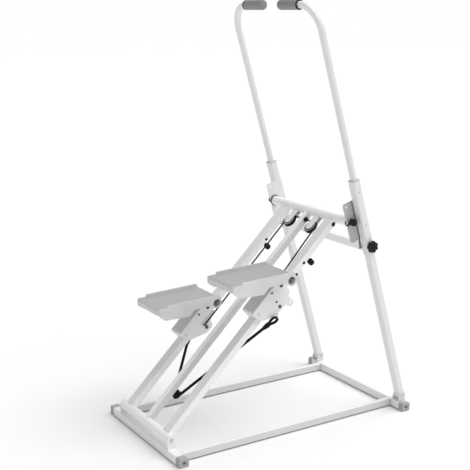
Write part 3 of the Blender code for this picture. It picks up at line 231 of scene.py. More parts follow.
SIDES = {"left": -1, "right": 1}
WHITE = (0.86, 0.86, 0.87)


def at(x, y, z):
    return Matrix.Translation((x, y, z))


def powder_coat(name, colour, slot="white_paint", roughness=0.36):
    """Baked powder: a faint orange peel, a softly varying sheen, a tone that is never quite even, and the
    painted shade its faces carry.
    """
    coat = Finish(name, slot, colour, roughness, Specular_IOR_Level=0.45)
    cloud = coat.noise(0.09, 3.0)
    coat.set("Base Color", coat.shaded(coat.tinted(cloud, colour, 0.97, 1.015)))
    coat.set("Roughness", coat.noise(0.03) * 0.10 + (roughness - 0.05))
    coat.bump(coat.noise(0.0022, 3.0) + coat.noise(0.02) * 0.6, 0.00012, 0.55)
    return coat


white_paint = powder_coat("white_powder_coat", WHITE)
# A brighter copy of the white coat for the base bars and the crossbar: painted light that lifts them to the
# brightness of the rest.
lit_base_paint = powder_coat("base_powder_coat_lit", (0.94, 0.94, 0.945))


def arc(centre, radius, start, end, steps):
    turns = [start + (end - start) * i / steps for i in range(steps + 1)]
    return [(centre[0] + radius * cos(a), centre[1] + radius * sin(a)) for a in turns]


def ring(centre, radius, steps=32):
    return arc(centre, radius, 0.0, 2 * pi * (steps - 1) / steps, steps - 1)


def rounded(corners, step=radians(13)):
    """A closed outline with each corner (x, y, radius) rounded; radius 0 keeps it sharp."""
    outline = []
    for i, (x, y, radius) in enumerate(corners):
        here = Vector((x, y))
        before = Vector(corners[i - 1][:2]) - here
        after = Vector(corners[(i + 1) % len(corners)][:2]) - here
        if radius == 0.0:
            outline.append((x, y))
            continue
        half = before.angle(after) / 2
        reach = min(radius / tan(half), 0.49 * before.length, 0.49 * after.length)
        radius = reach * tan(half)
        centre = here + (before.normalized() + after.normalized()).normalized() * (radius / sin(half))
        first = here + before.normalized() * reach - centre
        last = here + after.normalized() * reach - centre
        turn = first.angle_signed(last)
        start = atan2(first.y, first.x)
        outline += arc(centre, radius, start, start - turn, max(1, ceil(abs(turn) / step)))
    return outline


def box_outline(width, height, corner):
    x, y = width / 2, height / 2
    return rounded([(-x, -y, corner), (x, -y, corner), (x, y, corner), (-x, y, corner)])


def tube_outlines(width, height, corner, wall=TUBE_WALL):
    return [box_outline(width, height, corner),
            box_outline(width - 2 * wall, height - 2 * wall, corner - wall)]


def evaluated(source):
    """The source's evaluated shape, without materials; the source goes."""
    bpy.context.view_layer.update()
    mesh = bpy.data.meshes.new_from_object(source.evaluated_get(bpy.context.evaluated_depsgraph_get()))
    mesh.materials.clear()
    bpy.data.objects.remove(source, do_unlink=True)
    return mesh


def mesh_from(source):
    """The source's evaluated shape, welded, with its faces turned outwards."""
    mesh = evaluated(source)
    shape = bmesh.new()
    shape.from_mesh(mesh)
    bmesh.ops.remove_doubles(shape, verts=shape.verts, dist=1e-6)
    bmesh.ops.recalc_face_normals(shape, faces=shape.faces)
    shape.to_mesh(mesh)
    shape.free()
    return mesh


def line_curve(runs, dimensions, cyclic):
    curve = bpy.data.curves.new("line", "CURVE")
    curve.dimensions = dimensions
    for run in runs:
        spline = curve.splines.new("POLY")
        spline.points.add(len(run) - 1)
        for point, place in zip(spline.points, run):
            point.co = (*place, 0.0, 1.0)[:4] if len(place) == 2 else (*place, 1.0)
        spline.use_cyclic_u = cyclic
    return linked("line", curve)


def plate(outlines, thickness, edge=CUT_EDGE):
    """A flat outline with its holes, thickened to both sides, its edges rounded off."""
    source = line_curve(outlines, "2D", True)
    source.data.fill_mode = "BOTH"
    source.data.extrude = thickness / 2 - edge
    source.data.bevel_depth = edge
    source.data.bevel_resolution = 1
    source.data.offset = -edge
    return mesh_from(source)


def outwards(shape):
    """The bmesh as a mesh, with its faces turned outwards."""
    bmesh.ops.recalc_face_normals(shape, faces=shape.faces)
    mesh = bpy.data.meshes.new("outwards")
    shape.to_mesh(mesh)
    shape.free()
    return mesh


def turned(profile, steps=48, closed=False):
    """A profile of (radius, height) points turned about Z."""
    shape = bmesh.new()
    rings = []
    for radius, height in profile:
        if radius < 1e-6:
            rings.append([shape.verts.new((0.0, 0.0, height))])
        else:
            places = ring((0.0, 0.0), radius, steps)
            rings.append([shape.verts.new((x, y, height)) for x, y in places])
    pairs = list(zip(rings, rings[1:] + rings[:1]))
    for one, two in pairs if closed else pairs[:-1]:
        for i in range(steps):
            j = (i + 1) % steps
            corners = dict.fromkeys([one[i % len(one)], one[j % len(one)], two[j % len(two)],
                                     two[i % len(two)]])
            if len(corners) > 2:
                shape.faces.new(list(corners))
    return outwards(shape)


def rod(radius, top, bottom, steps=24):
    return turned([(0.0, top), (radius, top), (radius, bottom), (0.0, bottom)], steps)


def swept(points, radius, swell=None, steps=3):
    """A round bar along its points; swell scales its thickness at each of them."""
    source = line_curve([points], "3D", False)
    source.data.bevel_depth = radius
    source.data.bevel_resolution = steps
    source.data.use_fill_caps = True
    for point, scale in zip(source.data.splines[0].points, swell or []):
        point.radius = scale
    return mesh_from(source)


def mirrored(profile, middle=()):
    """A profile of (radius, height) points, its middle, and below that its mirror image."""
    return [*profile, *middle, *((r, -z) for r, z in reversed(profile))]


def placed(mesh, *moves):
    for move in reversed(moves):
        mesh.transform(move)
    return mesh


def merged(*meshes):
    shape = bmesh.new()
    for mesh in meshes:
        shape.from_mesh(mesh)
    whole = bpy.data.meshes.new("merged")
    shape.to_mesh(whole)
    shape.free()
    return whole


def carved(mesh, other, operation="DIFFERENCE"):
    """The first shape with the other one cut from it, or kept inside it."""
    source = linked("carved", mesh)
    cutter = linked("cutter", other)
    modifier = source.modifiers.new("Carve", "BOOLEAN")
    modifier.operation = operation
    modifier.object = cutter
    result = mesh_from(source)
    bpy.data.objects.remove(cutter, do_unlink=True)
    return result


def finished(name, mesh, body, finish, stands_for=None, smooth=radians(38), shade=None):
    """The mesh as a piece of the machine: painted, riding on its body, in place of its node.

    shade gives the painted shade on a face from its middle and its normal.
    """
    mesh.shade_smooth()
    mesh.set_sharp_from_angle(angle=smooth)
    source = linked(name + "_raw", mesh)
    weights = source.modifiers.new("Weights", "WEIGHTED_NORMAL")
    weights.keep_sharp = True
    final = evaluated(source)
    final.materials.append(finish.material)
    if shade:
        tones = final.attributes.new("shade", "FLOAT", "FACE")
        tones.data.foreach_set("value", [shade(face.center, face.normal) for face in final.polygons])
    piece = linked(name, final)
    if body:
        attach(piece, body)
    if stands_for:
        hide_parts(stands_for)
    return piece


def weld_bead(points, radius=0.0013, ripple=0.0022):
    """A welded seam along its points: a bar that swells and thins where the torch moved on."""
    path = [Vector(p) for p in points]
    run = []
    for a, b in zip(path, path[1:]):
        count = max(2, ceil((b - a).length / (ripple / 2)))
        run += [a.lerp(b, i / count) for i in range(count)]
    run.append(path[-1])
    swell = [1.0 + 0.16 * (-1) ** i for i in range(len(run))]
    return swept(run, radius, swell, steps=1)


def box_seam(width, height, corner, place, overshoot=0.0004):
    """A weld all round a rectangular tube's end."""
    outline = box_outline(width + overshoot, height + overshoot, corner)
    points = [place @ Vector((x, y, 0.0)) for x, y in outline + outline[:1]]
    return weld_bead(points)


def base_bar(length, y):
    return placed(plate(tube_outlines(BAR_DEPTH, BAR_HEIGHT, 0.004), length), at(0.0, y, BAR_MIDDLE), ON_YZ)


ears = []
for side in SIDES.values():
    top = arc((0.0, FRONT_PIVOT.z), EAR_RADIUS, 0.0, pi, 24)
    outline = [(-EAR_RADIUS, BAR_TOP - TUBE_WALL / 3), (EAR_RADIUS, BAR_TOP - TUBE_WALL / 3)] + top
    ear = plate([outline, ring((0.0, FRONT_PIVOT.z), ROD_BORE)], EAR_SHEET, 0.0006)
    ears.append(placed(ear, at(side * EAR_X, -BAR_Y, 0.0), ON_YZ))
    for way in (-1, 1):
        x = side * EAR_X + way * 0.0018
        ears.append(weld_bead([(x, end * EAR_SEAM - BAR_Y, BAR_TOP) for end in (-1, 1)]))


def base_shade(flank):
    """Painted shade on the base's flanks that face left or right, and a deeper painted shade on all lower
    edges.
    """
    return lambda middle, normal: EDGE_SHADE if normal.z < -0.2 else flank * normal.x ** 2


finished("front_bar", merged(base_bar(FRONT_BAR_LENGTH, -BAR_Y), *ears), "base", lit_base_paint,
         "base_front_bar", shade=base_shade(0.0))
finished("rear_bar", base_bar(REAR_BAR_LENGTH, BAR_Y), "base", lit_base_paint, "base_rear_bar",
         shade=base_shade(0.0))
for hand, side in SIDES.items():
    middle = at(side * SIDE_BAR_X, 0.0, BAR_MIDDLE)
    bar = placed(plate(tube_outlines(*SIDE_BAR_SIZE, 0.003), 2 * (BAR_Y - BAR_DEPTH / 2)), middle, ON_XZ)
    seams = [box_seam(*SIDE_BAR_SIZE, 0.003,
                      middle @ at(0.0, end * (BAR_Y - BAR_DEPTH / 2 - 0.0004), 0.0) @ ON_XZ)
             for end in (-1, 1)]
    finished(f"side_tube_{hand}", merged(bar, *seams), "base", lit_base_paint, f"side_bar_{hand}",
             shade=base_shade(FLANK_SHADE))


# The machine stands on four moulded grey end caps. Each is a block as deep as its bar, with rounded
# corners and a round recess in its end that holds a pan-head screw into the plug inside the tube.
CAP_SECTION = (0.0344, 0.031)
RECESS_RADIUS = 0.009
RECESS_DEPTH = 0.002
CAP_LENGTHS = {"front": 0.0277, "rear": 0.0227}
BAR_ENDS = {"front": 0.260, "rear": 0.2895}


def moulded(name, colour, slot="grey_plastic", roughness=0.5, grain=0.0007, gloss=0.4):
    """Injection-moulded plastic: a spark-eroded grain with a soft, uneven sheen."""
    plastic = Finish(name, slot, colour, roughness, Specular_IOR_Level=gloss)
    cloud = plastic.noise(0.012)
    plastic.set("Base Color", plastic.tinted(cloud, colour, 0.9, 1.08))
    plastic.set("Roughness", plastic.noise(0.006) * 0.16 + (roughness - 0.08))
    plastic.bump(plastic.noise(grain, 3.0), 0.00012, 0.7)
    return plastic


cap_plastic = moulded("grey_cap_plastic", (0.42, 0.42, 0.425))
for place, y in (("front", -BAR_Y), ("rear", BAR_Y)):
    for hand, side in SIDES.items():
        length = CAP_LENGTHS[place]
        end = side * BAR_ENDS[place]
        block = plate([box_outline(*CAP_SECTION, 0.006)], length, 0.0016)
        placed(block, at(end - side * length / 2, y, CAP_SECTION[1] / 2), ON_YZ)
        recess = turned([(0.0, RECESS_DEPTH), (RECESS_RADIUS + 0.0006, RECESS_DEPTH),
                         (RECESS_RADIUS, RECESS_DEPTH / 2), (RECESS_RADIUS, -RECESS_DEPTH),
                         (0.0, -RECESS_DEPTH)])
        placed(recess, at(end, y, CAP_SECTION[1] / 2), OUTWARD[side])
        cap = carved(block, recess)
        finished(f"end_cap_{place}_{hand}", cap, "base", cap_plastic, f"foot_cap_{place}_{hand}")


# Screws, rivets and bolt heads are repeated all over the machine: each kind is turned or pressed once,
# and a geometry-nodes tree sets a copy at every place, facing out of the surface it clamps.
HEX_FLATS = 0.0105
HEX_HEIGHT = 0.0036
WASHER_TOP = 0.0009
CAP_SCREW = (0.0042, 0.0017)


def zinc_plate(name, tone=0.66):
    """Plating on small turned parts, bright or blackened: faint brushing and cloudy passivation."""
    zinc = Finish(name, "plated_steel", (tone,) * 3, 0.32, 1.0)
    cloud = zinc.noise(0.004, 3.0)
    zinc.set("Base Color", zinc.tinted(cloud, (tone,) * 3, 0.83, 1.12))
    zinc.set("Roughness", zinc.noise(0.002) * 0.2 + 0.22)
    zinc.bump(zinc.noise(0.0006), 0.00005, 0.5)
    return zinc


zinc = zinc_plate("zinc_plate")


def pan_screw(radius, height):
    """A pan-head screw with a cross recess, its seat at the origin."""
    dome = [(0.0, height)] + [(radius * sin(a), height * (0.35 + 0.65 * cos(a))) for a in (0.45, 0.9, 1.3)]
    head = turned(dome + [(radius, height * 0.3), (radius, -HAIR), (0.0, -HAIR)], 24)
    for turn in (0.0, pi / 2):
        slot = plate([box_outline(radius * 1.15, radius * 0.3, radius * 0.1)], height, 0.0001)
        head = carved(head, placed(slot, at(0.0, 0.0, height), Matrix.Rotation(turn, 4, "Z")))
    return head


def hex_head():
    """A bolt head on a plain washer, its seat at the origin."""
    corner = HEX_FLATS / 2 / cos(pi / 6)
    hexagon = plate([arc((0.0, 0.0), corner, 0.0, 5 * pi / 3, 5)], HEX_HEIGHT, 0.0004)
    rim, edge = corner * 1.25, 0.0002
    profile = [(0.0, WASHER_TOP, edge), (rim, WASHER_TOP, edge), (rim, -edge, edge), (0.0, -edge, edge)]
    washer = turned(rounded(profile, radians(90)), 32)
    return merged(placed(hexagon, at(0.0, 0.0, WASHER_TOP + HEX_HEIGHT / 2)), washer)


class Recipe:
    """A geometry-nodes tree with named inputs. Nodes are linked as they are added; mesh() runs it."""

    def __init__(self, name, **sizes):
        self.tree = bpy.data.node_groups.new(name, "GeometryNodeTree")
        self.sizes = sizes
        self.inputs = {}
        for way in ("INPUT", "OUTPUT"):
            self.tree.interface.new_socket("Geometry", in_out=way, socket_type="NodeSocketGeometry")
        for label, value in sizes.items():
            kind = "NodeSocketInt" if isinstance(value, int) else "NodeSocketFloat"
            self.inputs[label] = self.tree.interface.new_socket(label, in_out="INPUT", socket_type=kind)
        self.entry = self.tree.nodes.new("NodeGroupInput").outputs

    def node(self, kind, sockets=(), out=0, **settings):
        node = self.tree.nodes.new(kind)
        for name, value in settings.items():
            setattr(node, name, value)
        for name, value in dict(sockets).items():
            if isinstance(value, bpy.types.NodeSocket):
                self.tree.links.new(value, node.inputs[name])
            else:
                node.inputs[name].default_value = value
        return node.outputs[out]

    def mesh(self, holder, result, finish):
        """What the tree makes of its holder, with its copies made real and painted."""
        real = self.node("GeometryNodeRealizeInstances", {"Geometry": result})
        painted = self.node("GeometryNodeSetMaterial", {"Geometry": real, "Material": finish.material})
        self.tree.links.new(painted, self.tree.nodes.new("NodeGroupOutput").inputs["Geometry"])
        modifier = holder.modifiers.new(self.tree.name, "NODES")
        modifier.node_group = self.tree
        for label, value in self.sizes.items():
            modifier[self.inputs[label].identifier] = value
        return mesh_from(holder)


def repeated(kind, places, finish):
    """One copy of a small part at every place (a matrix whose Z leaves the surface), as one mesh."""
    prototype = linked("prototype", kind)
    points = bpy.data.meshes.new("places")
    points.from_pydata([place.translation for place in places], [], [])
    turns = points.attributes.new("turn", "FLOAT_VECTOR", "POINT")
    for datum, place in zip(turns.data, places):
        datum.vector = place.to_euler()
    holder = linked("places", points)
    recipe = Recipe("set_at_places", Size=1.0)
    part = recipe.node("GeometryNodeObjectInfo", {"Object": prototype}, "Geometry")
    turn = recipe.node("GeometryNodeInputNamedAttribute", {"Name": "turn"}, "Attribute",
                       data_type="FLOAT_VECTOR")
    sockets = {"Points": recipe.entry["Geometry"], "Instance": part, "Rotation": turn,
               "Scale": recipe.entry["Size"]}
    mesh = recipe.mesh(holder, recipe.node("GeometryNodeInstanceOnPoints", sockets), finish)
    bpy.data.objects.remove(prototype, do_unlink=True)
    return mesh


blackened = zinc_plate("blackened_steel", 0.10)
cap_screws = []
for place, y in (("front", -BAR_Y), ("rear", BAR_Y)):
    for side in SIDES.values():
        out = OUTWARD[side]
        cap_screws.append(at(side * (BAR_ENDS[place] - RECESS_DEPTH), y, CAP_SECTION[1] / 2) @ out)
finished("cap_screws", repeated(pan_screw(*CAP_SCREW), cap_screws, blackened), "base", blackened)


# The rails turn on one plated rod through the ears. The posts turn on bolts in two U brackets, which are
# bent from sheet, with their cheeks rounded about the bolts, and welded on the rear bar.
ROD_HALF = 0.1783
POST_X = 0.2472
POST_PIVOT = Vector((0.0, 0.4539, 0.0538))
BRACKET_INNER = 0.0148
SHEET = 0.0025
BRACKET_BASE = 0.0313
BRACKET_HALF = 0.016
BRACKET_TOP_RADIUS = 0.014
BRACKET_SEAM = 0.014


def bolt_through(half, x, y, z):
    """A bolt's shank and its head and nut, which face out of both sides."""
    heads = [at(x + way * half, y, z) @ OUTWARD[way] for way in (-1, 1)]
    shank = placed(rod(ROD_RADIUS, half, -half, 32), at(x, y, z), ALONG_X)
    return merged(shank, repeated(hex_head(), heads, zinc))


finished("hinge_rod", bolt_through(ROD_HALF, *FRONT_PIVOT), "base", zinc, "front_pivot_rod")
for hand, side in SIDES.items():
    rise = POST_PIVOT.z - BRACKET_BASE
    height = rise + BRACKET_TOP_RADIUS
    outer, bend = BRACKET_INNER + SHEET, 2 * SHEET
    channel = rounded([(-outer, 0, bend), (outer, 0, bend), (outer, height, 0), (BRACKET_INNER, height, 0),
                       (BRACKET_INNER, SHEET, bend - SHEET), (-BRACKET_INNER, SHEET, bend - SHEET),
                       (-BRACKET_INNER, height, 0), (-outer, height, 0)])
    folded = placed(plate([channel], 2 * BRACKET_HALF, 0.0003), ON_XZ)
    pivot = (POST_PIVOT.y - BAR_Y, rise)
    far = BRACKET_HALF + SHEET
    cheek = [(-far, -SHEET), (far, -SHEET), (far, SHEET), (BRACKET_HALF, 2 * SHEET)]
    cheek += arc(pivot, BRACKET_TOP_RADIUS, 0.0, pi, 24) + [(-BRACKET_HALF, 2 * SHEET), (-far, SHEET)]
    shape = placed(plate([cheek, ring(pivot, ROD_BORE)], 0.08, 0.0003), ON_YZ)
    bracket = placed(carved(folded, shape, "INTERSECT"), at(side * POST_X, BAR_Y, BRACKET_BASE))
    seams = [weld_bead([(side * POST_X + end * BRACKET_SEAM, BAR_Y + way * BRACKET_HALF, BRACKET_BASE)
                        for end in (-1, 1)]) for way in (-1, 1)]
    finished(f"post_bracket_{hand}", merged(bracket, *seams), "base", white_paint, f"rear_bracket_{hand}")
    bolt = bolt_through(outer + HAIR, side * POST_X, POST_PIVOT.y, POST_PIVOT.z)
    finished(f"post_bolt_{hand}", bolt, "base", zinc, f"rear_pivot_bolt_{hand}")


# The inclined frame is three rectangular tubes welded between two round ones. It is drawn along the
# rails: Y runs up them from the front hinge and Z out of their faces.
RAIL_REACH = 0.938204
RAIL_INCLINE = radians(44.47628)
RAILS = Matrix.Translation(FRONT_PIVOT) @ Matrix.Rotation(RAIL_INCLINE, 4, "X")
RAIL_X = 0.1354
RAIL_SECTION = (0.0402, 0.0241)
MIDDLE_RAIL_SECTION = (0.0232, 0.0241)
RAIL_CORNER = 0.003
RAIL_SKIN = RAIL_SECTION[1] / 2 + HAIR
MIDDLE_SHADE = {"across": 0.27, "facing": 0.0, "under": 0.4}
RUNNING_SHADE = {"across": 0.0, "facing": 0.13, "under": 0.4}
LOWER_TUBE = (0.01625, 0.1745)
UPPER_TUBE = (0.017, 0.2235)


def round_tube(radius, half, bore):
    profile = mirrored([(bore, half), (radius - CUT_EDGE, half), (radius, half - CUT_EDGE)],
                       [(radius, 0.0)])
    return placed(turned(profile, 64, closed=True), ALONG_X)


def cope_seam(width, along, radius, x):
    """The weld where a rail meets a round tube: it crosses the rail's face, in front and behind."""
    half = width / 2 - 0.002
    seams = []
    for out in (-1, 1):
        n = RAIL_SECTION[1] / 2
        s = sqrt(radius ** 2 - n ** 2)
        s = along + s if along < RAIL_REACH / 2 else along - s
        seams.append(weld_bead([(x - half, s, out * n), (x + half, s, out * n)], 0.0014))
    return merged(*seams)


RUNNERS = {"left": (-RAIL_X, RAIL_SECTION), "middle": (0.0, MIDDLE_RAIL_SECTION),
           "right": (RAIL_X, RAIL_SECTION)}
# The rails and their round tubes take a brighter copy of the white coat: painted light on their sides and
# fronts.
lit_rail_paint = powder_coat("rail_powder_coat_lit", (0.97, 0.97, 0.975))
low_tube = placed(round_tube(*LOWER_TUBE, ROD_BORE), RAILS)
finished("hinge_tube", low_tube, "rails", lit_rail_paint, "lower_cross_tube")
top_tube = placed(round_tube(*UPPER_TUBE, 0.015), RAILS, at(0.0, RAIL_REACH, 0.0))
finished("top_tube", top_tube, "rails", lit_rail_paint, "upper_cross_tube")


def rail_shade(across, facing, under):
    """Painted shade on a rail's sides, its front face and its underside."""
    up = (RAILS @ Vector((0.0, 0.0, 1.0, 0.0))).to_3d()

    def shade(middle, normal):
        side = normal.x ** 2
        front = normal.dot(up)
        return across * side + (1.0 - side) * (facing if front > 0.0 else under) * abs(front)

    return shade


for name, (x, section) in RUNNERS.items():
    foot, head = LOWER_TUBE[0] * 0.8, RAIL_REACH - UPPER_TUBE[0] * 0.8
    tube = placed(plate(tube_outlines(*section, RAIL_CORNER), head - foot), at(x, (foot + head) / 2, 0.0),
                  ON_XZ)
    seams = [cope_seam(section[0], 0.0, LOWER_TUBE[0], x),
             cope_seam(section[0], RAIL_REACH, UPPER_TUBE[0], x)]
    rail = placed(merged(tube, *seams), RAILS)
    shade = rail_shade(**(MIDDLE_SHADE if name == "middle" else RUNNING_SHADE))
    finished(f"runner_{name}", rail, "rails", lit_rail_paint, f"rail_{name}", shade=shade)


# Small black plugs, pressed in by hand, close the drilled holes in the rails and the right side bar. The
# largest is a domed cap near the top of the right rail.
DOT_RADIUS = 0.0055
PLUG_RADIUS = 0.0080
RIGHT_RAIL_DOTS = ((0.741, -0.005), (0.693, -0.009))
LEFT_RAIL_DOT = (0.777, -0.005)
PLUG_PLACE = (0.913, -0.005)
BAR_DOT_RADIUS = 0.0024
BAR_DOT = (0.2123, -0.4343, 0.0295)
black_plastic = moulded("black_moulding", (0.010, 0.010, 0.011), "black_plastic", roughness=0.45,
                        grain=0.0009, gloss=0.16)


def dot_hole(radius):
    """A drilled hole closed by a small domed plug."""
    dome = [(0.0, 0.0008), (radius * 0.6, 0.0006), (radius, 0.0), (radius, -0.0002), (0.0, -0.0002)]
    return turned(dome, 32)


right_face = RAIL_X + RAIL_SECTION[0] / 2
left_face = -RAIL_X + RAIL_SECTION[0] / 2
dots = [RAILS @ at(right_face, s, n) @ ALONG_X for s, n in RIGHT_RAIL_DOTS]
dots.append(RAILS @ at(left_face, *LEFT_RAIL_DOT) @ ALONG_X)
finished("rail_holes", repeated(dot_hole(DOT_RADIUS), dots, black_plastic), "rails", black_plastic)
plug = turned([(0.0, 0.0021), (0.0045, 0.0019), (0.0064, 0.0012), (PLUG_RADIUS, 0.0),
               (PLUG_RADIUS, -0.0004), (0.0, -0.0004)])
finished("rail_plug", placed(plug, RAILS, at(right_face, *PLUG_PLACE), ALONG_X), "rails", black_plastic)
bar_dot = placed(dot_hole(BAR_DOT_RADIUS), at(*BAR_DOT))
finished("side_tube_hole", bar_dot, "base", black_plastic)


# Each end of the top tube has a black moulded cap that takes the lock knob's stud. The knobs are black,
# with flutes for the fingers, and pinch the posts' plates against the tube.
KNOB_SEAT = 0.2319
LOCK_KNOB = (0.012, 0.022)
LOCK_FLUTES = 14
FLUTE_DEPTH = 0.035


def fluted_knob(radius, length, flutes, neck):
    outline = []
    for i in range(flutes * 8):
        turn = 2 * pi * i / (flutes * 8)
        reach = radius * (1.0 - FLUTE_DEPTH * (1 + cos(flutes * turn)))
        outline.append((reach * cos(turn), reach * sin(turn)))
    body = placed(plate([outline], length - neck, 0.0018), at(0.0, 0.0, (length + neck) / 2))
    collar = turned([(0.0, neck + 0.001), (radius * 0.66, neck + 0.001), (radius * 0.66, 0.0004),
                     (radius * 0.62, 0.0), (0.0, 0.0)])
    return merged(body, collar)


for hand, side in SIDES.items():
    out = OUTWARD[side]
    profile = [(ROD_BORE, 0.0046), (0.0180, 0.0046), (0.0191, 0.0041), (0.0195, 0.0032), (0.0195, HAIR),
               (0.0147, HAIR), (0.0147, -0.012), (ROD_BORE, -0.012)]
    cap = placed(turned(profile, closed=True), RAILS, at(side * UPPER_TUBE[1], RAIL_REACH, 0.0), out)
    finished(f"top_tube_cap_{hand}", cap, "rails", black_plastic, f"tube_cap_{hand}")
    stud = rod(ROD_RADIUS, 0.001, -0.0195)
    knob = merged(fluted_knob(*LOCK_KNOB, LOCK_FLUTES, 0.004), stud)
    placed(knob, RAILS, at(side * KNOB_SEAT, RAIL_REACH, 0.0), out)
    finished(f"locking_knob_{hand}", knob, f"lock_knob_{hand}", black_plastic, f"lock_knob_{hand}")


# Two white tongues hang from the top tube on each side of the middle rail, and a black grooved pulley
# turns on a rivet between them. The cable crosses over both pulleys and through the middle rail, whose
# holes are lined with black grommets.
PULLEY_X = 0.064
PULLEY_DROP = 0.062
PULLEY_ALONG = RAIL_REACH - PULLEY_DROP
CABLE_TURN = 0.022
CABLE_RADIUS = 0.0029
TONGUE_HALF = 0.015
TONGUE_OUT = 0.0075
TONGUE_THICKNESS = 0.002
TONGUE_SEAM = 0.013
for hand, side in SIDES.items():
    middle = at(side * PULLEY_X, PULLEY_ALONG, 0.0)
    seat = PULLEY_DROP - sqrt(UPPER_TUBE[0] ** 2 - (TONGUE_OUT - TONGUE_THICKNESS / 2) ** 2) - HAIR
    outline = arc((0.0, 0.0), TONGUE_HALF, -pi, 0.0, 24) + [(TONGUE_HALF, seat), (-TONGUE_HALF, seat)]
    hanger = [placed(plate([outline], TONGUE_THICKNESS), at(0.0, 0.0, out * TONGUE_OUT)) for out in (-1, 1)]
    hanger += [weld_bead([(end * TONGUE_SEAM, seat, out * (TONGUE_OUT + TONGUE_THICKNESS / 2))
                          for end in (-1, 1)]) for out in (-1, 1)]
    finished(f"pulley_hanger_{hand}", placed(merged(*hanger), RAILS, middle), "rails", white_paint,
             f"pulley_plate_{hand}")
    spun_end = [(0.0, 0.0100), (0.0030, 0.0098), (0.0048, 0.0091), (0.0054, 0.0084), (0.004, 0.0084)]
    rivet = turned(mirrored(spun_end), 32)
    finished(f"pulley_rivet_{hand}", placed(rivet, RAILS, middle), "rails", zinc)
    groove = arc((CABLE_TURN, 0.0), CABLE_RADIUS + 0.0002, radians(118), radians(242), 8)
    cheek = [(ROD_BORE, 0.0055), (0.0240, 0.0055), (0.0247, 0.0050), (0.0248, 0.0040)]
    wheel = placed(turned(mirrored(cheek, groove), 64, closed=True), RAILS, middle)
    finished(f"pulley_wheel_{hand}", wheel, f"cable_pulley_{hand}", black_plastic, f"cable_pulley_{hand}")
    # A bright zinc band on each face of the pulley draws the light line round its rim: a painted highlight.
    highlight_band = [(0.0196, 0.0053), (0.0197, 0.0058), (0.0214, 0.0058), (0.0215, 0.0053)]
    highlight_bands = merged(turned(highlight_band, 64, closed=True), turned([(r, -z) for r, z in highlight_band], 64, closed=True))
    finished(f"pulley_band_{hand}", placed(highlight_bands, RAILS, middle), f"cable_pulley_{hand}", zinc)
    grommet = [(CABLE_RADIUS, 0.0), (0.0088, 0.0), (0.0094, 0.0012), (0.0088, 0.0044), (0.0066, 0.0056),
               (CABLE_RADIUS, 0.0056)]
    face = side * MIDDLE_RAIL_SECTION[0] / 2
    out = OUTWARD[side]
    collar = placed(turned(grommet, 40, closed=True), RAILS, at(face, PULLEY_ALONG + CABLE_TURN, 0.0), out)
    finished(f"cable_grommet_{hand}", collar, "rails", black_plastic)


# The cable is twisted steel wire in a smooth black sleeve. Each run goes straight down to a clamp on its
# carriage.
RESTS = {"left": 0.319, "right": 0.500}
CARRIAGE_OUTER = 0.0335
CABLE_STUD = (0.0700, -0.0085)
CLAMP_REACH = 0.0065
CLAMP_RISE = 0.0048
RUN_STEPS = 40
cable_sleeve = Finish("cable_sleeve", "black_cord", (0.008, 0.008, 0.009), 0.34, Specular_IOR_Level=0.2)
cable_sleeve.set("Roughness", cable_sleeve.noise(0.004) * 0.2 + 0.26)
cable_sleeve.bump(cable_sleeve.noise(0.0011), 0.00008, 0.6)


def straight(start, end):
    """Even steps from start to end."""
    return [start.lerp(end, i / RUN_STEPS) for i in range(1, RUN_STEPS + 1)]


left_turn = arc((-PULLEY_X, PULLEY_ALONG), CABLE_TURN, pi, pi / 2, 16)
right_turn = arc((PULLEY_X, PULLEY_ALONG), CABLE_TURN, pi / 2, 0.0, 16)
cable = placed(swept([(x, s, 0.0) for x, s in left_turn + right_turn], CABLE_RADIUS), RAILS)
finished("pulley_cable", cable, "rails", cable_sleeve, "cable_top")
for hand, side in SIDES.items():
    rest = RESTS[hand]
    top = Vector((side * (PULLEY_X + CABLE_TURN), PULLEY_ALONG, 0.0))
    low = Vector((side * (RAIL_X - CARRIAGE_OUTER - CLAMP_REACH), rest + CABLE_STUD[0] + CLAMP_RISE,
                  CABLE_STUD[1]))
    points = [top, top - Vector((0.0, 0.006, 0.0))]
    points += straight(points[1], low)
    run = placed(swept(points, CABLE_RADIUS), RAILS)
    piece = finished(f"carriage_cable_{hand}", run, None, cable_sleeve, f"cable_run_{hand}")
    RAILS @ points[1]
    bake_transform(piece)


# Under the rails a black rope ties the two carriages together. It turns round a roller on the middle rail
# and ends in a spliced eye on a bent wire hook beside each carriage's outer plate.
ROLLER_ALONG = 0.134
ROLLER_DROP = 0.029
ROPE_RADIUS = 0.0055
ROPE_WRAP = 0.0133
ROPE_STUD = (0.0460, -0.0325)
ROPE_STRANDS = 6
ROPE_LAY = 0.020
STOPS_PER_LAY = 12
STRAND_VALLEY = 0.86
EYE = (0.0225, -0.0350)
EYE_LENGTH = 0.036
EYE_WIDTH = 0.0236
EYE_NECK = 0.026
EYE_STRAND = 0.0049
SPLICE_LENGTH = 0.040
SPLICE_LEAD = 0.012
HOOK_REACH = 0.0085
HOOK_DROP = 0.0033
rope_braid = Finish("rope_braid", "black_cord", (0.010, 0.010, 0.011), 0.7, Specular_IOR_Level=0.1)
fibres = rope_braid.noise(0.0008, 3.0)
rope_braid.set("Base Color", rope_braid.mixed(fibres, (0.005, 0.005, 0.006), (0.020, 0.020, 0.021)))
rope_braid.set("Roughness", fibres * 0.2 + 0.6)
rope_braid.bump(fibres, 0.0002, 0.8)


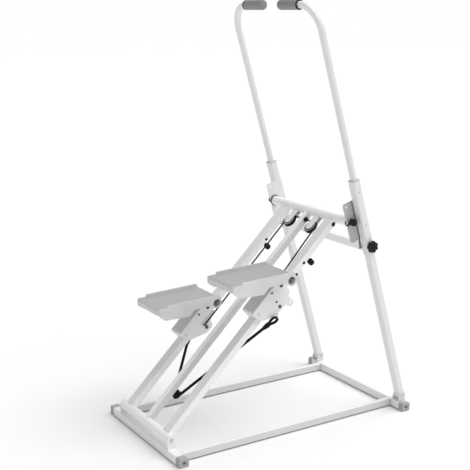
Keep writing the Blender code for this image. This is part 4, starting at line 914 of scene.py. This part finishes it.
def twisted_rope(points, radius, strands, lay):
    """A laid rope along its points: geometry nodes sweep a lobed section that turns once in every lay."""
    holder = line_curve([points], "3D", False)
    recipe = Recipe("laid_rope", Strands=strands, Radius=radius, Lay=lay)
    entry = recipe.entry
    stops = {"Curve": entry["Geometry"], "Length": lay / STOPS_PER_LAY}
    even = recipe.node("GeometryNodeResampleCurve", stops, mode="LENGTH")
    along = recipe.node("GeometryNodeSplineParameter", out="Length")
    turns = recipe.node("ShaderNodeMath", {0: along, 1: entry["Lay"]}, operation="DIVIDE")
    angle = recipe.node("ShaderNodeMath", {0: turns, 1: 2 * pi}, operation="MULTIPLY")
    tilt = recipe.node("GeometryNodeSetCurveTilt", {"Curve": even, "Tilt": angle})
    inner = recipe.node("ShaderNodeMath", {0: entry["Radius"], 1: STRAND_VALLEY}, operation="MULTIPLY")
    star = {"Points": entry["Strands"], "Outer Radius": entry["Radius"], "Inner Radius": inner}
    lobes = recipe.node("GeometryNodeCurveStar", star)
    round_off = {"Curve": lobes, "Count": 1, "Radius": radius * 0.2}
    soften = recipe.node("GeometryNodeFilletCurve", round_off, mode="POLY")
    skin = recipe.node("GeometryNodeCurveToMesh",
                       {"Curve": tilt, "Profile Curve": soften, "Fill Caps": True})
    return recipe.mesh(holder, skin, rope_braid)


pin = [(0.0, 0.0), (0.0125, 0.0), (0.0125, -0.0026), (0.0121, -0.003), (ROD_RADIUS, -0.003),
       (ROD_RADIUS, -0.0240), (0.0066, -0.0240), (0.0070, -0.0244), (0.0068, -0.0256), (0.0, -0.0262)]
pin = placed(turned(pin, 40), RAILS, at(0.0, ROLLER_ALONG, -RAIL_SKIN))
finished("rope_pin", pin, "rails", black_plastic, "rope_bracket")
wheel = [(ROD_BORE, 0.0065), (0.0146, 0.0065), (0.0152, 0.0061), (0.0152, 0.0057), (0.0098, 0.0046),
         (0.0082, 0.0028), (0.0075, 0.0010)]
wheel = placed(turned(mirrored(wheel), closed=True), RAILS, at(0.0, ROLLER_ALONG, -ROLLER_DROP))
finished("rope_wheel", wheel, "rope_wheel", black_plastic, "rope_roller")
for hand, side in SIDES.items():
    rest = RESTS[hand]
    end = Vector((side * (RAIL_X + CARRIAGE_OUTER + HOOK_REACH), rest + ROPE_STUD[0] - HOOK_DROP))
    away = end - Vector((0.0, ROLLER_ALONG))
    leave = atan2(away.y, side * away.x) - pi / 2
    bend = [(0.00015, -ROPE_WRAP)] + arc((0.0, 0.0), ROPE_WRAP, 0.15 - pi / 2, leave, 14)
    points = [Vector((side * x, ROLLER_ALONG + s, -ROLLER_DROP)) for x, s in bend]
    eye = Vector((end.x, rest + EYE[0], EYE[1]))
    back = (points[-1] - eye).normalized()
    last = eye + back * EYE_NECK
    points += straight(points[-1], last)
    run = placed(twisted_rope(points, ROPE_RADIUS, ROPE_STRANDS, ROPE_LAY), RAILS)
    piece = finished(f"carriage_rope_{hand}", run, None, rope_braid, f"rope_run_{hand}", radians(70))
    RAILS @ points[16]
    RAILS @ last
    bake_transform(piece)
    swell = [0.40, 1.10, 1.58, 1.66, 1.52, 1.34, 1.12, 0.92]
    spread = [last + back * (SPLICE_LENGTH * i / 7 - SPLICE_LEAD) for i in range(len(swell))]
    splice = swept(spread, ROPE_RADIUS, swell)
    loop = []
    for i in range(1, 40):
        turn = 2 * pi * i / 40
        wide = EYE_WIDTH / 2 * sin(turn) * sin(turn / 2)
        loop.append(last + back * EYE_LENGTH / 2 * (cos(turn) - 1) + Vector((0.0, 0.0, wide)))
    loop = swept(loop, EYE_STRAND)
    eye_and_splice = placed(merged(loop, splice), RAILS)
    finished(f"rope_eye_{hand}", eye_and_splice, f"carriage_{hand}", rope_braid, smooth=radians(70))


# Two moulded rubber stops hang under the running rails, each on the short neck of its screw, and catch
# the carriages at the top.
BUMPER_ALONG = RAIL_REACH - 0.171
RUBBER_BLACK = (0.012, 0.012, 0.013)
rubber = Finish("black_rubber", "black_rubber", RUBBER_BLACK, 0.75, Specular_IOR_Level=0.15)
bloom = rubber.noise(0.007, 3.0)
rubber.set("Base Color", rubber.tinted(bloom, RUBBER_BLACK, 0.75, 1.5))
rubber.set("Roughness", bloom * 0.2 + 0.62)
rubber.bump(rubber.noise(0.0009, 3.0), 0.0001, 0.7)
for hand, side in SIDES.items():
    neck = [(0.0, 0.0), (0.005, 0.0), (0.005, -0.0185), (0.0056, -0.019), (0.0092, -0.019)]
    pad = [(0.0101, -0.0195), (0.0105, -0.0208), (0.0105, -0.0330), (0.0101, -0.0352), (0.0088, -0.0367),
           (0.0060, -0.0370), (0.0, -0.0370)]
    stop = placed(turned(neck + pad), RAILS, at(side * RAIL_X, BUMPER_ALONG, -RAIL_SKIN))
    finished(f"stop_{hand}", stop, "rails", rubber, f"bumper_{hand}")


# Each carriage is a bracket folded from thick sheet: a web in front of the rail, bent in below, and a
# plate down each side, with three axle pins riveted through. Ears on the plates hold the pedal's tube.
SIDE_INNER = 0.031
WEB_OUT = 0.0455
WEB_TOP = 0.122
WEB_BEND = 0.005
WEB_TURN = 0.011
WEB_END_OUT = 0.014
PLATE_FOOT = -0.0165
HINGE = (0.1495, 0.036)
HINGE_EAR_RADIUS = 0.0185
PEDAL_TUBE_RADIUS = 0.0155
TAB_HOLE = (0.1072, -0.0522)
TAB_RADIUS = 0.0115
TAB_BORE = 0.0045
FIXINGS = ((0.0832, 0.0342), (0.0724, -0.0030))
FIXING_SCREW = (0.0038, 0.0012)
WEB_SHADE = 0.26
FRONT_ROLLER = 0.0106
FRONT_AXLE_OUT = RAIL_SKIN + FRONT_ROLLER
AXLES = ((0.0, FRONT_AXLE_OUT), (0.1245, FRONT_AXLE_OUT), (0.070, -0.026))
OUTER_BACK = [(0.1350, 0.0100, 0.006), (0.1331, -0.0213, 0.004), (0.1172, -0.0270, 0.004),
              (TAB_HOLE[0] + TAB_RADIUS, TAB_HOLE[1] - TAB_RADIUS, TAB_RADIUS),
              (TAB_HOLE[0] - TAB_RADIUS, TAB_HOLE[1] - TAB_RADIUS, TAB_RADIUS),
              (0.0884, -0.0405, 0.004), (0.0430, -0.0367, 0.006), (0.0071, -0.0163, 0.020)]
INNER_BACK = [(0.1350, 0.0080, 0.006), (0.1296, -0.0127, 0.006), (0.0990, -0.0160, 0.006),
              (0.0900, -0.0450, 0.016), (0.0539, -0.0401, 0.012)]


def carriage_plate(back):
    """A side plate's outline: up the front edge, round the ear and down its own back."""
    foot = (PLATE_FOOT, 0.0020)
    front = rounded([(*foot, 0.003), (PLATE_FOOT, WEB_OUT, WEB_TURN), (WEB_TOP, WEB_OUT, 0.0),
                     (WEB_TOP, 0.0, 0.0)])
    ear = arc(HINGE, HINGE_EAR_RADIUS, radians(125), radians(-70), 28)
    return front[:-1] + ear + rounded([(*ear[-1], 0.0), *back, (*foot, 0.0)])[1:-1]


def carriage_bracket(side):
    hole = ring(HINGE, PEDAL_TUBE_RADIUS + HAIR, 48)
    middle = SIDE_INNER + SHEET / 2
    outer = plate([carriage_plate(OUTER_BACK), hole, ring(TAB_HOLE, TAB_BORE, 28)], SHEET)
    inner = plate([carriage_plate(INNER_BACK), hole], SHEET)
    sides = merged(placed(outer, at(side * middle, 0.0, 0.0), ON_YZ),
                   placed(inner, at(-side * middle, 0.0, 0.0), ON_YZ))
    reach = SIDE_INNER + SHEET
    low = PLATE_FOOT + WEB_TURN
    span = [(low, WEB_OUT - WEB_BEND), (low, WEB_OUT + 0.02), (WEB_TOP, WEB_OUT + 0.02),
            (WEB_TOP, WEB_OUT - WEB_BEND)]
    sides = carved(sides, placed(plate([span], 4 * reach, 0.0), ON_YZ))
    back = WEB_OUT - WEB_BEND
    inside = (WEB_OUT - SHEET, WEB_BEND - SHEET)
    fold = rounded([(-reach, back, 0.0), (-reach, WEB_OUT, WEB_BEND), (reach, WEB_OUT, WEB_BEND),
                    (reach, back, 0.0), (SIDE_INNER, back, 0.0), (SIDE_INNER, *inside),
                    (-SIDE_INNER, *inside), (-SIDE_INNER, back, 0.0)])
    web = placed(plate([fold], WEB_TOP - low, 0.0003), at(0.0, (WEB_TOP + low) / 2, 0.0), ON_XZ)
    bend = (low, WEB_OUT - WEB_TURN)
    turn = arc(bend, WEB_TURN, pi / 2, pi, 12)
    turn += [(PLATE_FOOT, WEB_END_OUT), (PLATE_FOOT + SHEET, WEB_END_OUT)]
    turn += arc(bend, WEB_TURN - SHEET, pi, pi / 2, 12)
    end = placed(plate([turn], 2 * SIDE_INNER + 0.0006, 0.0003), ON_YZ)
    return merged(sides, web, end)


def rivet_head(radius=0.0062, height=0.0028):
    """A spun-over rivet end with a shallow centre mark."""
    dome = [(0.0, 0.7), (0.22, 0.72), (0.34, 1.0), (0.6, 0.93), (0.9, 0.55), (1.0, 0.0)]
    dome = [(radius * r, height * z) for r, z in dome]
    return turned(dome + [(radius, -HAIR), (0.0, -HAIR)], 32)


def bracket_shade(middle, normal):
    """The web lies in the pedal's shade: its paint is darkened on what faces out of the rails."""
    out = (RAILS @ Vector((0.0, 0.0, 1.0, 0.0))).to_3d()
    return WEB_SHADE * max(0.0, normal.dot(out)) ** 2


for hand, side in SIDES.items():
    place = RAILS @ at(side * RAIL_X, RESTS[hand], 0.0)
    body = f"carriage_{hand}"
    bracket = placed(carriage_bracket(side), place)
    finished(f"folded_bracket_{hand}", bracket, body, white_paint, f"carriage_bracket_{hand}",
             shade=bracket_shade)
    faces = [(way, at(way * CARRIAGE_OUTER, 0.0, 0.0), OUTWARD[way]) for way in (-1, 1)]
    heads = [[place @ face @ at(0.0, s, n) @ turn for way, face, turn in faces] for s, n in AXLES]
    pins = [placed(rod(ROD_RADIUS, CARRIAGE_OUTER, -CARRIAGE_OUTER), place, at(0.0, s, n), ALONG_X)
            for s, n in AXLES]
    finished(f"axle_pins_{hand}", merged(repeated(rivet_head(), heads[0], zinc), *pins), body, zinc)
    caps = repeated(rivet_head(0.0066, 0.0030), heads[1] + heads[2], blackened)
    finished(f"axle_caps_{hand}", caps, body, blackened)
    seats = [place @ face @ at(0.0, s, n) @ turn for s, n in FIXINGS for way, face, turn in faces
             if way == side or n > 0.0]
    finished(f"fixing_screws_{hand}", repeated(pan_screw(*FIXING_SCREW), seats, black_plastic), body,
             black_plastic)
    inward = OUTWARD[-side]
    clamp = [(0.0, 0.0130), (0.0044, 0.0130), (0.0055, 0.0122), (0.0055, 0.0110), (0.003, 0.0106),
             (0.003, 0.0), (0.0, 0.0)]
    clamp = placed(turned(clamp, 32), place, at(-side * CARRIAGE_OUTER, *CABLE_STUD), inward)
    finished(f"cable_clamp_{hand}", clamp, body, blackened)
    wire = [(0.0, *ROPE_STUD), (0.0065, *ROPE_STUD), (0.0085, 0.0445, -0.0327), (0.0088, 0.0330, -0.0345),
            (0.0100, 0.0300, -0.0348), (0.0135, 0.0292, -0.0350), (0.0150, 0.0310, -0.0350),
            (0.0150, 0.0350, -0.0350)]
    hook = swept([(side * (CARRIAGE_OUTER + x), s, n) for x, s, n in wire], 0.0022)
    finished(f"rope_hook_{hand}", placed(hook, place), body, white_paint)


# Three black nylon rollers keep a carriage on its rail: two run on the front face and one behind it.
# Each turns on an axle pin, with its rims rounded off.
ROLLER_HALF = 0.022
ROLLER_LIP = 0.0012
REAR_ROLLER = 0.01365
for hand, side in SIDES.items():
    kinds = zip(("front_roller_lower", "front_roller_upper", "rear_roller"), AXLES,
                (FRONT_ROLLER, FRONT_ROLLER, REAR_ROLLER))
    for kind, (s, n), radius in kinds:
        corner = ROLLER_LIP * 0.3
        profile = [(ROD_BORE, ROLLER_HALF), (radius - ROLLER_LIP, ROLLER_HALF),
                   (radius - corner, ROLLER_HALF - corner), (radius, ROLLER_HALF - ROLLER_LIP)]
        place = at(side * RAIL_X, RESTS[hand] + s, n)
        roller = turned(mirrored(profile, [(radius, 0.0)]), closed=True)
        roller = placed(roller, RAILS, place, ALONG_X)
        finished(f"nylon_{kind}_{hand}", roller, f"{kind}_{hand}", black_plastic, f"{kind}_{hand}")


# A pedal is pressed from sheet and coated grey: a flat tread, its front edge rolled down and carried round
# both corners, between two flanges that turn on the carriage's tube. A bar on two ribs rests on the web.
PEDAL_TILT = radians(2.5)
PEDAL_HALF = 0.083
PEDAL_SHEET = 0.002
TREAD_TOP = 0.021
TREAD_FRONT = -0.232
TREAD_REAR = 0.0095
TREAD_LIP = 0.021
TREAD_ROLL = 0.009
TREAD_CORNER = 0.018
FLANGE_TOP = 0.030
FLANGE_FRONT = -0.2286
FLANGE_STEP = -0.194
FLANGE_FOOT = -0.0050
STOP_BAR_RADIUS = 0.006
STOP_BAR = (0.113, WEB_OUT + HAIR + STOP_BAR_RADIUS)
STOP_BAR_HALF = 0.022
PEDAL_GREY = (0.70, 0.70, 0.71)
TREAD_SHADE = 0.45
BORE_SHADE = 0.6
PEDAL_TUBE_BORE = 0.014
RIB_HALF = 0.014
pedal_paint = powder_coat("pedal_powder_coat", PEDAL_GREY, "pedal_paint", 0.42)
lines = pedal_paint.noise(0.0016, 2.0, pedal_paint.stretched(1.0, 0.02, 0.05))
broad = pedal_paint.noise(0.008, 2.0, pedal_paint.stretched(1.0, 0.05, 0.1))
tone = pedal_paint.paper.add("ShaderNodeValToRGB", {"Fac": lines * 0.6 + broad * 0.4},
                             {"stops": [(0.35, 0.0), (0.65, 1.0)]})
pedal_paint.set("Base Color", pedal_paint.shaded(pedal_paint.tinted(tone, PEDAL_GREY, 0.93, 1.07)))
pedal_paint.bump(lines + pedal_paint.noise(0.0022, 3.0) * 0.4, 0.00012, 0.6)


def to_pedal(along, out):
    """A point of the carriage's side view, seen from the pedal's hinge."""
    turn = RAIL_INCLINE - PEDAL_TILT
    y, z = along - HINGE[0], out - HINGE[1]
    return y * cos(turn) - z * sin(turn), y * sin(turn) + z * cos(turn)


def lofted(rings):
    """A closed bar through its rings of points, capped at both ends."""
    shape = bmesh.new()
    loops = [[shape.verts.new(point) for point in points] for points in rings]
    for one, two in zip(loops, loops[1:]):
        for i, corner in enumerate(one):
            shape.faces.new([one[i - 1], corner, two[i], two[i - 1]])
    shape.faces.new(loops[0])
    shape.faces.new(loops[-1])
    return outwards(shape)


def rolled_edge():
    """The tread's front edge: its rolled lip swept along the front and round both corners."""
    drop = TREAD_TOP - TREAD_ROLL
    skins = ((TREAD_ROLL, range(9)), (TREAD_ROLL - PEDAL_SHEET, range(8, -1, -1)))
    section = [(r * sin(pi / 16 * i) - TREAD_ROLL, drop + r * cos(pi / 16 * i))
               for r, turns in skins for i in turns]
    section[9:9] = [(0.0, TREAD_TOP - TREAD_LIP), (-PEDAL_SHEET, TREAD_TOP - TREAD_LIP)]
    x = PEDAL_HALF - HAIR - TREAD_CORNER
    path = [(side * x, pi + pi / 24 * i) for side, turns in ((-1, range(13)), (1, range(12, 25)))
            for i in turns]
    y = TREAD_FRONT + TREAD_CORNER
    rings = [[(x + (TREAD_CORNER + out) * cos(a), y + (TREAD_CORNER + out) * sin(a), z)
              for out, z in section] for x, a in path]
    return lofted(rings), [points[0][:2] for points in rings]


def pedal_shape():
    stop = to_pedal(*STOP_BAR)
    inner = PEDAL_HALF - SHEET
    lip, seam = rolled_edge()
    y = TREAD_FRONT + TREAD_CORNER
    plan = [(-inner - HAIR, TREAD_REAR), (-inner - HAIR, y), *seam, (inner + HAIR, y),
            (inner + HAIR, TREAD_REAR)]
    tread = placed(plate([plan], PEDAL_SHEET, 0.0), at(0.0, 0.0, TREAD_TOP - PEDAL_SHEET / 2))
    wrap = arc((0.0, 0.0), HINGE_EAR_RADIUS, -pi - asin(FLANGE_FOOT / HINGE_EAR_RADIUS), 0.0, 28)
    low_top = TREAD_TOP + 0.001
    corners = [(HINGE_EAR_RADIUS, 0.0120, 0.004), (0.0120, FLANGE_TOP, 0.010),
               (FLANGE_STEP, FLANGE_TOP, 0.003), (FLANGE_STEP - 0.002, low_top, 0.002),
               (FLANGE_FRONT, low_top, 0.006), (FLANGE_FRONT, -0.004, 0.006), (-0.2050, -0.0215, 0.006),
               (-0.1110, -0.0262, 0.005), (-0.0960, -0.0105, 0.005), (-0.0870, FLANGE_FOOT, 0.005),
               (-0.0300, FLANGE_FOOT, 0.0), (HINGE_EAR_RADIUS, 0.0, 0.0)]
    outline = rounded(corners)[:-2] + wrap
    hole = ring((0.0, 0.0), PEDAL_TUBE_RADIUS + HAIR, 48)
    sides = [placed(plate([outline, hole], SHEET), at(way * (PEDAL_HALF - SHEET / 2), 0.0, 0.0), ON_YZ)
             for way in (-1, 1)]
    bar = [(0.0, STOP_BAR_HALF), (STOP_BAR_RADIUS - 0.0006, STOP_BAR_HALF),
           (STOP_BAR_RADIUS, STOP_BAR_HALF - 0.0006)]
    bar = placed(turned(mirrored(bar), 32), at(0.0, *stop), ALONG_X)
    under = TREAD_TOP - PEDAL_SHEET
    rib = arc(stop, STOP_BAR_RADIUS - HAIR, -pi, 0.0, 12)
    rib += [(stop[0] + RIB_HALF, under + HAIR), (stop[0] - RIB_HALF, under + HAIR)]
    ribs = [placed(plate([rib], SHEET), at(way * (STOP_BAR_HALF - SHEET / 2 - 0.0006), 0.0, 0.0), ON_YZ)
            for way in (-1, 1)]
    seams = [weld_bead([(way * (inner - 0.0004), y, under) for y in (-0.190, 0.008)], 0.0011)
             for way in (-1, 1)]
    return merged(tread, lip, *sides, bar, *ribs, *seams)


def pedal_shade(hinge):
    """Painted shade on the tread's upward face; the flanges and the lip, which catch the floor's light, keep
    the lighter grey.
    """
    back = hinge.inverted()
    up = hinge.to_3x3() @ Vector((0.0, 0.0, 1.0))

    def shade(middle, normal):
        facing = max(0.0, normal.dot(up))
        return TREAD_SHADE * facing ** 2 if abs((back @ middle).x) < PEDAL_HALF - SHEET else 0.0

    return shade


def bore_shade(axis):
    """Inside the pedal's tube its upper half is in the dark."""
    def shade(middle, normal):
        off = (middle - axis).yz.length
        return BORE_SHADE if off < PEDAL_TUBE_RADIUS - 0.0008 and normal.z < 0.0 else 0.0

    return shade


for hand, side in SIDES.items():
    middle = at(side * RAIL_X, RESTS[hand] + HINGE[0], HINGE[1])
    hinge = RAILS @ middle @ Matrix.Rotation(PEDAL_TILT - RAIL_INCLINE, 4, "X")
    finished(f"pressed_pedal_{hand}", placed(pedal_shape(), hinge), f"pedal_{hand}", pedal_paint,
             f"pedal_{hand}", shade=pedal_shade(hinge))
    tube = placed(round_tube(PEDAL_TUBE_RADIUS, PEDAL_HALF, PEDAL_TUBE_BORE), RAILS, middle)
    finished(f"hinge_tube_{hand}", tube, f"carriage_{hand}", white_paint, f"pedal_tube_{hand}",
             shade=bore_shade(hinge.translation))


# The posts lean forwards from the rear bar. A sleeve is shrunk over the upper half of each, and carries
# the slotted plate that locks the top tube, with a dark strip of painted shadow in the joint between them.
# A flat crossbar joins the two sleeves.
POST_LEAN = radians(16.49)
POSTS = Matrix.Translation(POST_PIVOT) @ Matrix.Rotation(POST_LEAN, 4, "X")
POST_SECTION = (0.0286, 0.0264)
POST_FOOT = -0.012
POST_TOP = 0.845
SLEEVE_BOTTOM = 0.570
SLEEVE_GROWTH = 0.0018
SLEEVE_CORNER = 0.0055
LOCK_HEIGHT = 0.7056
LOCK_OFFSET = 0.0372
LOCK_PLATE = (-0.0178, 0.0504, -0.0756, 0.070)
LOCK_SHEET = 0.003
LOCK_HOLE = ((-0.004, 0.055), 0.0035)
LOCK_SLOT = (0.0045, 0.054)
LOCK_SLOT_DIP = radians(32)
SLEEVE_INNER_X = POST_X - POST_SECTION[0] / 2 - SLEEVE_GROWTH
SLEEVE_OUTER_X = POST_X + POST_SECTION[0] / 2 + SLEEVE_GROWTH
STAR_HEIGHT = 0.604
CROSSBAR_SIZE = (0.020, 0.030)
CROSSBAR_PLACE = (0.0, -0.002, 0.599)
SLEEVE_SCREWS = (0.8056, 0.6845)
SLEEVE_SCREW = (0.0036, 0.0016)
LOCK_SHADE = 0.38
SHADOW_STRIP_SHEET = 0.001
LOCK_SHADOW_STRIP = ((0.0186, 0.068), (0.0222, 0.068), (0.0222, -0.108), (0.0110, -0.108), (0.0146, -0.0756),
         (0.0186, -0.0756))


def lock_plate(side):
    front, back, bottom, top = LOCK_PLATE
    outline = rounded([(front, top, 0.008), (back, top, 0.0), (back, bottom, 0.0), (front, bottom, 0.008)])
    slab = plate([outline, ring(*LOCK_HOLE, 24)], LOCK_SHEET, 0.0005)
    half, length = LOCK_SLOT
    slot = arc((0.0, 0.0), half, -pi / 2, pi / 2, 20) + [(-length, half), (-length, -half)]
    slot = placed(plate([slot], 4 * LOCK_SHEET, 0.0), Matrix.Rotation(LOCK_SLOT_DIP, 4, "Z"))
    beside = at(side * (SLEEVE_INNER_X + HAIR - LOCK_SHEET / 2), -LOCK_OFFSET, LOCK_HEIGHT)
    return placed(carved(slab, slot), beside, ON_YZ)


def square_with_knob_hole(outlines, low, high, side):
    """A square tube up a post, drilled for the star knob's stud in its outer wall."""
    tube = placed(plate(outlines, high - low), at(side * POST_X, 0.0, (low + high) / 2))
    wall = at(side * (POST_X + POST_SECTION[0] / 2), 0.0, STAR_HEIGHT)
    return carved(tube, placed(rod(ROD_BORE, 0.01, -0.01), wall, ALONG_X))


def sleeve_shade(middle, normal):
    """The right lock plate's outer face, beside its post, lies in the sleeve's shade."""
    return LOCK_SHADE if normal.x > 0.5 and 0.0 < middle.x < SLEEVE_INNER_X + 0.001 else 0.0


# Dark moulding for the painted shadow strip in each lock plate's joint.
shadow_strip_plastic = moulded("painted_shadow_strip_plastic", (0.20, 0.20, 0.205))
for hand, side in SIDES.items():
    post = placed(square_with_knob_hole(tube_outlines(*POST_SECTION, 0.004), POST_FOOT, POST_TOP, side),
                  POSTS)
    finished(f"upright_{hand}", post, "posts", white_paint, f"post_{hand}")
    width, depth = (size + 2 * SLEEVE_GROWTH for size in POST_SECTION)
    outlines = tube_outlines(width, depth, SLEEVE_CORNER)
    sleeve = square_with_knob_hole(outlines, SLEEVE_BOTTOM, POST_TOP, side)
    seams = [weld_bead([(side * (SLEEVE_INNER_X - 0.0028), y, LOCK_HEIGHT + z)
                        for y in (0.001 - depth / 2, depth / 2 - 0.003)])
             for z in (LOCK_PLATE[2], LOCK_PLATE[3] - 0.002)]
    finished(f"outer_sleeve_{hand}", placed(merged(sleeve, lock_plate(side), *seams), POSTS), "posts",
             white_paint, f"sleeve_{hand}", shade=sleeve_shade)
    # A thin dark sheet in the joint between sleeve and lock plate: a painted shadow.
    beside = at(side * (SLEEVE_INNER_X + 0.0008), -LOCK_OFFSET, LOCK_HEIGHT)
    shadow_strip = placed(plate([LOCK_SHADOW_STRIP], SHADOW_STRIP_SHEET, 0.0002), POSTS, beside, ON_YZ)
    finished(f"lock_liner_{hand}", shadow_strip, "posts", shadow_strip_plastic)

middle = at(*CROSSBAR_PLACE)
crossbar = placed(plate(tube_outlines(*CROSSBAR_SIZE, RAIL_CORNER), 2 * SLEEVE_INNER_X), middle, ON_YZ)
ends = [middle @ at(way * (SLEEVE_INNER_X - 0.0004), 0.0, 0.0) @ ON_YZ for way in (-1, 1)]
seams = [box_seam(*CROSSBAR_SIZE, RAIL_CORNER, end) for end in ends]
finished("flat_crossbar", placed(merged(crossbar, *seams), POSTS), "posts", lit_base_paint, "post_crossbar")
screws = [POSTS @ at(side * SLEEVE_OUTER_X, 0.0, s) @ OUTWARD[side]
          for side in SIDES.values() for s in SLEEVE_SCREWS]
finished("sleeve_screws", repeated(pan_screw(*SLEEVE_SCREW), screws, zinc), "posts", zinc)


# A grey bush in each post's mouth guides the handle's tube, and a black star knob through the sleeve
# clamps it at its height. The knob's head is moulded with seven lobes round a raised hub.
HANDLE_SECTION = (0.0222, 0.0190)
HANDLE_CORNER = 0.006
STAR_LOBES = 7
STAR_RADIUS = 0.0212
LOBE_RADIUS = 0.0068
STAR_DEPTH = 0.012
bush_plastic = moulded("pale_bush_plastic", (0.60, 0.60, 0.605))


def star_head():
    outline = []
    for lobe in range(STAR_LOBES):
        turn = 2 * pi * lobe / STAR_LOBES
        centre = ((STAR_RADIUS - LOBE_RADIUS) * cos(turn), (STAR_RADIUS - LOBE_RADIUS) * sin(turn))
        outline += arc(centre, LOBE_RADIUS, turn - radians(72), turn + radians(72), 12)
    head = placed(plate([outline], STAR_DEPTH, 0.0022), at(0.0, 0.0, 0.010))
    hub = turned([(0.0, 0.0180), (0.0056, 0.0180), (0.0066, 0.0176), (0.0072, 0.0160), (0.0086, 0.0060),
                  (0.009, 0.0), (0.0, 0.0)])
    dish = turned([(0.0, 0.0200), (0.0042, 0.0200), (0.0036, 0.0170), (0.0, 0.0168)], 32)
    stud = rod(ROD_RADIUS, 0.001, -0.0055)
    return merged(head, carved(hub, dish), stud)


for hand, side in SIDES.items():
    rim = box_outline(*(size + 2 * SLEEVE_GROWTH + 0.001 for size in POST_SECTION), SLEEVE_CORNER)
    skirt = box_outline(*(size - 0.0036 for size in POST_SECTION), 0.0025)
    bore = box_outline(*(size + 2 * HAIR for size in HANDLE_SECTION), HANDLE_CORNER)
    bush = merged(placed(plate([rim, bore], 0.0024, 0.0007), at(0.0, 0.0, POST_TOP + 0.0015)),
                  placed(plate([skirt, bore], 0.020, 0.0003), at(0.0, 0.0, POST_TOP - 0.0095)))
    finished(f"post_bush_{hand}", placed(bush, POSTS, at(side * POST_X, 0.0, 0.0)), "posts", bush_plastic,
             f"post_collar_{hand}")
    out = OUTWARD[side]
    knob = placed(star_head(), POSTS, at(side * (SLEEVE_OUTER_X + 0.0005), 0.0, STAR_HEIGHT), out)
    finished(f"clamp_knob_{hand}", knob, f"star_knob_{hand}", black_plastic, f"star_knob_{hand}")


# Each handle is one length of soft-cornered tube that slides in its post and is bent inwards at the top.
# Geometry nodes round the bend of its path and sweep its section along it.
HANDLE_BOTTOM = 0.560
GRIP_HEIGHT = 1.4435
BEND_RADIUS = 0.088
HANDLE_END_X = 0.055


def bent_tube(corners, width, depth, corner, bend):
    """A tube whose path is bent at each inner corner, with a rounded rectangle for its section."""
    holder = line_curve([corners], "3D", False)
    recipe = Recipe("bent_tube", Width=width, Depth=depth, Corner=corner, Bend=bend)
    entry = recipe.entry
    bends = {"Curve": entry["Geometry"], "Count": 20, "Radius": entry["Bend"]}
    path = recipe.node("GeometryNodeFilletCurve", bends, mode="POLY")
    flats = {"Width": entry["Width"], "Height": entry["Depth"]}
    section = recipe.node("GeometryNodeCurvePrimitiveQuadrilateral", flats)
    edges = {"Curve": section, "Count": 6, "Radius": entry["Corner"]}
    soften = recipe.node("GeometryNodeFilletCurve", edges, mode="POLY")
    skin = recipe.node("GeometryNodeCurveToMesh",
                       {"Curve": path, "Profile Curve": soften, "Fill Caps": True})
    return recipe.mesh(holder, skin, white_paint)


for hand, side in SIDES.items():
    bends = ((POST_X, HANDLE_BOTTOM), (POST_X, GRIP_HEIGHT), (HANDLE_END_X, GRIP_HEIGHT))
    corners = [Vector((side * x, 0.0, z)) for x, z in bends]
    handle = placed(bent_tube(corners, *HANDLE_SECTION, HANDLE_CORNER, BEND_RADIUS), POSTS)
    finished(f"bent_handle_{hand}", handle, f"handle_{hand}", white_paint, f"handle_{hand}")


# The grips are closed-cell foam sleeves pushed on the handles' ends: mid grey, matt, softly rounded at
# both ends and pitted all over, with a black ring at the end where the tube goes in.
GRIP_OUTER_X = 0.158
GRIP_INNER_X = 0.050
GRIP_RADIUS = 0.0172
GRIP_CORNER = 0.0065
GRIP_SHOULDER = 0.012
GRIP_WAIST = 0.012
FOAM_GREY = (0.30, 0.30, 0.305)
grip_foam = Finish("grip_foam", "grey_foam", FOAM_GREY, 0.9, Specular_IOR_Level=0.2)
cells = grip_foam.paper.add("ShaderNodeTexVoronoi", {"Vector": grip_foam.place, "Scale": 1100.0})
cloud = grip_foam.noise(0.010, 3.0)
grip_foam.set("Base Color", grip_foam.tinted(cloud * 0.6 + cells * 0.4, FOAM_GREY, 0.86, 1.1))
grip_foam.set("Roughness", cloud * 0.1 + 0.84)
grip_foam.bump(cells + cloud * 0.5, 0.0003, 0.6)
for hand, side in SIDES.items():
    half = (GRIP_OUTER_X - GRIP_INNER_X) / 2
    end = arc((GRIP_RADIUS - GRIP_CORNER, half - GRIP_CORNER), GRIP_CORNER, pi / 2, 0.0, 8)
    span = half - GRIP_SHOULDER
    waist = [(GRIP_RADIUS * (1.0 - GRIP_WAIST * sin(pi * (i / 10)) ** 2), span - span * 2 * i / 10)
             for i in range(11)]
    grip = placed(turned(mirrored([(0.0, half)] + end, waist)), POSTS,
                  at(side * (GRIP_OUTER_X + GRIP_INNER_X) / 2, 0.0, GRIP_HEIGHT), ALONG_X)
    piece = finished(f"foam_grip_{hand}", grip, f"handle_{hand}", grip_foam, f"grip_{hand}")
    mouth = [(0.0150, 0.0), (0.0166, 0.0002), (0.0170, 0.0010), (0.0166, 0.0018), (0.0150, 0.0020),
             (0.0125, 0.0020), (0.0125, 0.0)]
    out = OUTWARD[side]
    ferrule = placed(turned(mouth, closed=True), POSTS, at(side * GRIP_OUTER_X, 0.0, GRIP_HEIGHT), out)
    finished(f"grip_ring_{hand}", ferrule, f"handle_{hand}", black_plastic)
